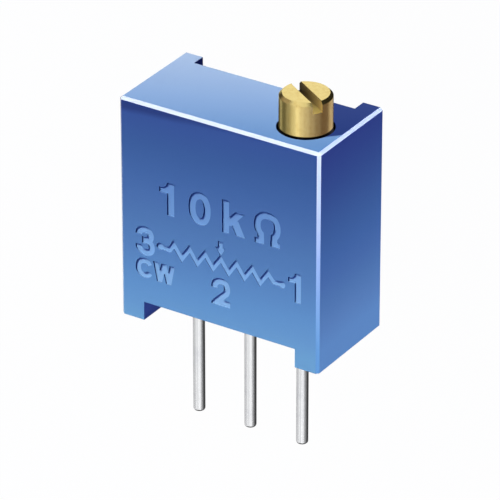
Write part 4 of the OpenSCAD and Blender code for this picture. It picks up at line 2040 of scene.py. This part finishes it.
@dataclass(frozen=True)
class Card:
    """A soft lamp that faces the part.

    Attributes:
        turn: first and last degree that it spans, round from the camera.
        rise: lowest and highest degree that it spans, seen from the part.
        level: its brightness, 1 for white paper in full light.
        reach: its distance.
    """

    name: str
    turn: Flat
    rise: Flat
    level: float
    colour: Colour = WHITE
    reach: float = 60.0


class Link(Enum):
    """How a lamp's light linking treats the members of a collection."""

    ON = "INCLUDE"
    OFF = "EXCLUDE"


@dataclass
class Studio:
    """Camera, pale floor and soft light.

    Attributes:
        azimuth: where the camera stands, in degrees.
        elevation: how high it stands, in degrees.
        distance: how far away it stands.
        view_angle: what it takes in, in degrees.
        clip: nearest and farthest distance that it sees, in metres.
        aim: the place round which the lamps stand.
        shift: how far to the right of that place and above it the camera aims.
        floor_glow: how bright the floor is.
        mottle: width of the floor's faint patches.
        fill: light from all round.
        gleam: what is reflected where no lamp stands.
        margin: how far the beams' lamps stand clear of the part.
        least_width: how narrow a card may get near the zenith.
    """

    azimuth: float = 32.5
    elevation: float = 28.5
    distance: float = 193.0
    view_angle: float = 6.04
    clip: Flat = (0.01, 10.0)
    aim: Place = (0.0, 0.0, 5.0)
    shift: Flat = (-0.02, -1.54)
    floor_radius: float = 600.0
    floor_glow: float = 0.97
    mottle: float = 60.0
    fill: Colour = (0.14, 0.165, 0.44)
    gleam: Colour = BLACK
    margin: float = 1.0
    least_width: float = 0.25

    def __post_init__(self) -> None:
        """Reads the case's box from the frame."""
        self.low, self.high = box_mm("housing")
        self.bottom = CAD_BOX[0][2] / MM
        self.centre = Vector(self.aim)
        self.lamps: dict[str, Object] = {}
        self.flags: dict[str, list[Object]] = {}

    def camera(self) -> None:
        """Places the camera and makes it the scene's."""
        data = bpy.data.cameras.new("camera")
        data.lens_unit = "FOV"
        data.angle = math.radians(self.view_angle)
        data.clip_start, data.clip_end = self.clip
        towards = direction(self.azimuth, self.elevation)
        turn = towards.to_track_quat("Z", "Y")
        right, up = turn @ Vector((1, 0, 0)), turn @ Vector((0, 1, 0))
        target = self.centre + right * self.shift[0] + up * self.shift[1]
        made = bpy.data.objects.new("camera", data)
        made.rotation_euler = turn.to_euler()
        made.location = (target + towards * self.distance) * MM
        bpy.context.scene.collection.objects.link(made)
        bpy.context.scene.camera = made

    def floor(self) -> Object:
        """Makes the floor, a pale disc that only the camera sees.

        Returns:
            The floor.
        """
        work = bmesh.new()
        bmesh.ops.create_circle(work, cap_ends=True, segments=64, radius=self.floor_radius,
                                matrix=Matrix.Translation((0, 0, self.bottom)))
        shader = Shader("floor_pale")
        patches = shader.noise(self.mottle, detail=2.0)
        made = finished("floor", work, [shader.finish(
            Base_Color=BLACK, Roughness=1.0, Specular_IOR_Level=0.0,
            Emission_Color=shader.mix(patches, (self.floor_glow,) * 3, WHITE),
            Emission_Strength=1.0)])
        hide(made, ("diffuse", "glossy", "transmission", "shadow"))
        return made

    def world(self) -> None:
        """Sets a dim fill for the part, and the floor's colour for the camera."""
        world = bpy.data.worlds.new("studio")
        bpy.context.scene.world = world
        world.use_nodes = True
        tree = Tree(world.node_tree)
        seen = tree.node("ShaderNodeLightPath", output="Is Camera Ray")
        lit = tree.mix(seen.other("Is Glossy Ray"), self.fill, self.gleam)
        colour = tree.mix(seen, lit, (self.floor_glow,) * 3)
        light = tree.node("ShaderNodeBackground", None, {"Color": colour})
        tree.node("ShaderNodeOutputWorld", None, {"Surface": light})

    def _lamp(self, spec: Beam | Card, place: Vector, turn: Matrix, size: Flat) -> Object:
        """Makes a rectangular lamp that the camera doesn't see.

        Args:
            spec: its name, level and colour.
            place: where it stands.
            turn: which way it faces.
            size: its width and height.

        Returns:
            The lamp.
        """
        data = bpy.data.lights.new(spec.name, "AREA")
        data.shape = "RECTANGLE"
        data.size, data.size_y = size[0] * MM, size[1] * MM
        data.energy = spec.level * data.size * data.size_y * math.pi
        data.color = spec.colour
        made = bpy.data.objects.new(spec.name, data)
        made.matrix_world = Matrix.Translation(place * MM) @ turn.to_4x4()
        made.visible_camera = False
        bpy.context.scene.collection.objects.link(made)
        self.lamps[spec.name] = made
        return made

    def beam(self, spec: Beam) -> None:
        """Makes a beam that lights the part on one side of an edge, or the edge alone.

        Args:
            spec: the beam.
        """
        towards = direction(spec.azimuth, spec.elevation)
        sides = spec.edge.value

        # The lamp's own axes: its width runs along the edge, as seen down the beam.
        along = Vector([float(side == 0) for side in sides])
        across = (along - towards * towards.dot(along)).normalized()
        up = towards.cross(across)

        # The two rims of the chamfer, each inset from the corner that it cuts off.
        corner = Vector([low if side < 0 else high if side > 0 else 0.0
                         for side, low, high in zip(sides, self.low, self.high)])
        first, second = [Vector([float(i == j) * side for i in range(3)])
                         for j, side in enumerate(sides) if side]
        rims = sorted(up.dot(corner - way * spec.inset) for way in (first, second))

        # What the whole part takes up, as seen down the beam.
        low, high = Vector(CAD_BOX[0]) / MM, Vector(CAD_BOX[1]) / MM
        corners = [Vector((x, y, z)) for x in (low.x, high.x) for y in (low.y, high.y)
                   for z in (low.z, high.z)]
        wide = [across.dot(c) for c in corners]
        heights = [up.dot(c) for c in corners]
        if spec.keep is Keep.ONLY:
            start, end = rims
        else:
            start = up.dot(corner - first * spec.inset if sides[2] else corner)
            rising = (up.z if sides[2] else up.x) > 0
            end = max(heights) if (spec.keep is Keep.ABOVE) == rising else min(heights)
        middle = across * (max(wide) + min(wide)) / 2 + up * (start + end) / 2
        reach = max(towards.dot(c) for c in corners) + self.margin
        turn = Matrix((across, up, towards)).transposed()
        size = (max(wide) - min(wide) + self.margin, abs(end - start))
        lamp = self._lamp(spec, middle + towards * reach, turn, size)
        lamp.data.spread = math.radians(spec.spread)

    def card(self, spec: Card) -> None:
        """Makes a soft lamp that faces the part.

        Args:
            spec: the card.
        """
        towards = direction(self.azimuth + sum(spec.turn) / 2, sum(spec.rise) / 2)
        turn = towards.to_track_quat("Z", "Y").to_matrix()
        wide, high = [2 * spec.reach * math.tan(math.radians(end - start) / 2)
                      for start, end in (spec.turn, spec.rise)]
        wide *= max(self.least_width, math.cos(math.radians(sum(spec.rise) / 2)))
        self._lamp(spec, self.centre + towards * spec.reach, turn, (wide, high))

    def flag(self, spec: Flag, beams: Sequence[Beam]) -> None:
        """Makes a black card that only one beam meets.

        Args:
            spec: the flag.
            beams: the beams, of which it stops one.
        """
        beam = next(b for b in beams if b.name == spec.beam)
        shift = direction(beam.azimuth, beam.elevation) * spec.lift
        work = bmesh.new()
        work.faces.new([work.verts.new(Vector(corner) + shift) for corner in spec.patch])
        shader = Shader(spec.name)
        felt = shader.mix(shader.noise(size=0.5), PITCH_BLACK, BLACK)
        made = finished(spec.name, work, [shader.finish(Base_Color=felt, Roughness=1.0)])
        hide(made, ("camera", "diffuse", "glossy", "transmission"))
        self.flags.setdefault(spec.beam, []).append(made)

    @staticmethod
    def _group(name: str, members: Sequence[Object], link: Link) -> Collection:
        """Makes a collection for light linking, its members all included or all excluded.

        Args:
            name: the collection's name.
            members: the objects.
            link: whether the light reaches them.

        Returns:
            The collection.
        """
        group = bpy.data.collections.new(name)
        for member in members:
            group.objects.link(member)
        for entry in group.collection_objects:
            entry.light_linking.link_state = link.value
        return group

    def spare(self, name: str, members: Sequence[Object]) -> None:
        """Keeps a lamp's light off some pieces."""
        linking = self.lamps[name].light_linking
        linking.receiver_collection = self._group(f"{name}_off", members, Link.OFF)

    def only(self, name: str, members: Sequence[Object]) -> None:
        """Keeps a lamp's light to some pieces."""
        linking = self.lamps[name].light_linking
        linking.receiver_collection = self._group(f"{name}_on", members, Link.ON)

    def clear(self, name: str, members: Sequence[Object]) -> None:
        """Lets a lamp's light through some pieces, and through other lamps' flags.

        Args:
            name: the lamp's name.
            members: the pieces.
        """
        others = [flag for beam, flags in self.flags.items() if beam != name for flag in flags]
        linking = self.lamps[name].light_linking
        linking.blocker_collection = self._group(f"{name}_through", [*members, *others], Link.OFF)


BEAMS = (
    Beam("key_top", -32.0, 22.5, Edge.FRONT_TOP, Keep.ABOVE, 2.55, (1.0, 1.0, 0.9)),
    Beam("key_front", -29.0, 55.0, Edge.FRONT_TOP, Keep.BELOW, 1.62, (1.0, 1.0, 0.9), spread=1.0),
    Beam("side", 100.0, 60.0, Edge.SIDE_TOP, Keep.BELOW, 0.94, (0.92, 0.96, 1.0), spread=1.5),
    Beam("upright", 45.0, 5.0, Edge.UPRIGHT, Keep.ONLY, 0.40, spread=0.3),
)
CASE_LOW, CASE_HIGH = box_mm("housing")

# Patches to be kept dark: the left face, and the screw's soft shadow just over the top.
LEFT_FACE = tuple((CASE_LOW.x, y, z) for y, z in (
    (CASE_LOW.y, -1.0), (CASE_HIGH.y, -1.0), (CASE_HIGH.y, CASE_HIGH.z), (CASE_LOW.y, CASE_HIGH.z)))
SCREW_SHADE = tuple((x, y, CASE_HIGH.z + 0.02) for x, y in (
    (3.02, -0.6), (1.95, -0.35), (2.55, 1.77), (2.55, 2.5), (4.80, 2.5), (4.80, -0.38),
    (3.93, -1.27)))
FLAGS = (
    Flag("flag_left_top", "key_top", LEFT_FACE),
    Flag("flag_left_front", "key_front", LEFT_FACE),
    Flag("flag_screw", "key_top", SCREW_SHADE),
)
FILLS = (
    Card("fill_rear", (156.0, 204.0), (-34.0, 2.0), 5.4, (1.0, 0.95, 0.80)),
    Card("fill_left", (-145.0, -105.0), (-34.0, 4.0), 2.2, (1.0, 0.98, 0.92)),
    Card("fill_under", (-26.0, 26.0), (-90.0, -60.0), 0.6),
)
LOW_RISE = (-52.0, -6.0)
LEVEL_RISE = (-6.0, 3.0)


def ring(name: str, tones: Sequence[Tone], end: float, rise: Flat) -> tuple[Card, ...]:
    """Lists cards that stand side by side round the part, for its upright metal.

    Args:
        name: the start of their names.
        tones: each card's first degree, level and colour.
        end: the last card's last degree.
        rise: lowest and highest degree that they span.

    Returns:
        The cards, in the order of their tones.
    """
    turns = [tone[0] for tone in tones] + [end]
    return tuple(Card(f"{name}_{i + 1}", (start, turns[i + 1]), rise, level, colour)
                 for i, (start, level, colour) in enumerate(tones))


BRASS_TONES = (
    (-180.0, 0.66, (1.0, 1.0, 0.8)),
    (-122.0, 0.09, (1.0, 1.0, 0.7)),
    (-92.0, 0.36, (1.0, 0.97, 0.88)),
    (-66.0, 0.74, (1.0, 0.98, 0.9)),
    (-44.0, 1.28, (1.0, 0.99, 1.0)),
    (-24.0, 0.86, (1.0, 0.96, 1.0)),
    (-4.0, 0.68, (1.0, 0.94, 1.0)),
    (16.0, 0.46, (1.0, 0.88, 0.95)),
    (38.0, 0.29, (1.0, 0.82, 0.9)),
    (62.0, 0.16, (1.0, 0.66, 0.62)),
    (105.0, 0.62, (1.0, 0.86, 0.84)),
)
PIN_TONES = (
    (-180.0, 0.50, WHITE),
    (-146.0, 0.57, WHITE),
    (-110.0, 0.64, WHITE),
    (-78.0, 0.80, WHITE),
    (-54.0, 0.90, WHITE),
    (-10.0, 1.06, WHITE),
    (25.0, 0.60, WHITE),
    (44.0, 0.36, WHITE),
    (66.0, 0.15, WHITE),
    (90.0, 0.03, WHITE),
    (150.0, 0.12, WHITE),
)
BRASS_CARDS = (
    *ring("brass_low", BRASS_TONES, 148.0, LOW_RISE),
    *ring("brass_level", BRASS_TONES, 148.0, LEVEL_RISE),
    Card("brass_rear", (158.0, 202.0), (2.0, 54.0), 1.07, (1.0, 0.99, 0.9)),
    Card("brass_crown", (-78.0, 10.0), (44.0, 74.0), 1.05),
    Card("brass_crown_left", (-130.0, -78.0), (18.0, 52.0), 0.40, (1.0, 0.86, 0.8)),
    Card("brass_sky_left", (-78.0, -10.0), (4.0, 36.0), 0.75, (1.0, 0.97, 0.88)),
    Card("brass_sky_right", (-10.0, 58.0), (4.0, 36.0), 0.75, (1.0, 0.97, 0.88)),
    Card("brass_zenith", (-60.0, 60.0), (76.0, 110.0), 0.9, (1.0, 0.97, 0.85)),
)
PIN_CARDS = (*ring("pin_low", PIN_TONES, 180.0, LOW_RISE),
             *ring("pin_level", PIN_TONES, 180.0, LEVEL_RISE))


def light_studio(studio: Studio, housing: Object, screw: Object, pins: Sequence[Object]) -> None:
    """Places the camera, the floor, the lamps and the flags.

    Args:
        studio: the sizes of the set.
        housing: the case, which the metals' cards shine through.
        screw: the brass screw.
        pins: the pins.
    """
    studio.camera()
    studio.world()
    floor = studio.floor()
    for beam in BEAMS:
        studio.beam(beam)
        studio.spare(beam.name, [floor, screw, *pins])
    for flag in FLAGS:
        studio.flag(flag, BEAMS)
    for card in FILLS:
        studio.card(card)
        studio.spare(card.name, [floor, screw, *pins])
    for cards, members in ((BRASS_CARDS, [screw]), (PIN_CARDS, pins)):
        for card in cards:
            studio.card(card)
            studio.only(card.name, members)
            studio.clear(card.name, [housing, floor])
    for spec in (*BEAMS, *FILLS):
        studio.clear(spec.name, [])
    hide(housing, ["glossy"])  # the metals mirror their cards only
    hide(screw, ["diffuse"])  # no brass light falls on the case


def main() -> None:
    """Builds the pieces, dresses the rest, and sets up the studio."""
    logging.basicConfig(level=logging.INFO, format="%(name)s: %(message)s")
    bpy.context.scene.view_settings.view_transform = "Standard"
    housing, screw, pins = Housing().build(), AdjustingScrew().build(), Pins().build()
    for piece in (housing, screw, *pins, WormGear().build(), BackSeal().build()):
        log.info("%s: %d faces", piece.name, len(piece.data.polygons))
    InnerParts().dress()
    light_studio(Studio(), housing, screw, pins)


if __name__ == "__main__":
    main()
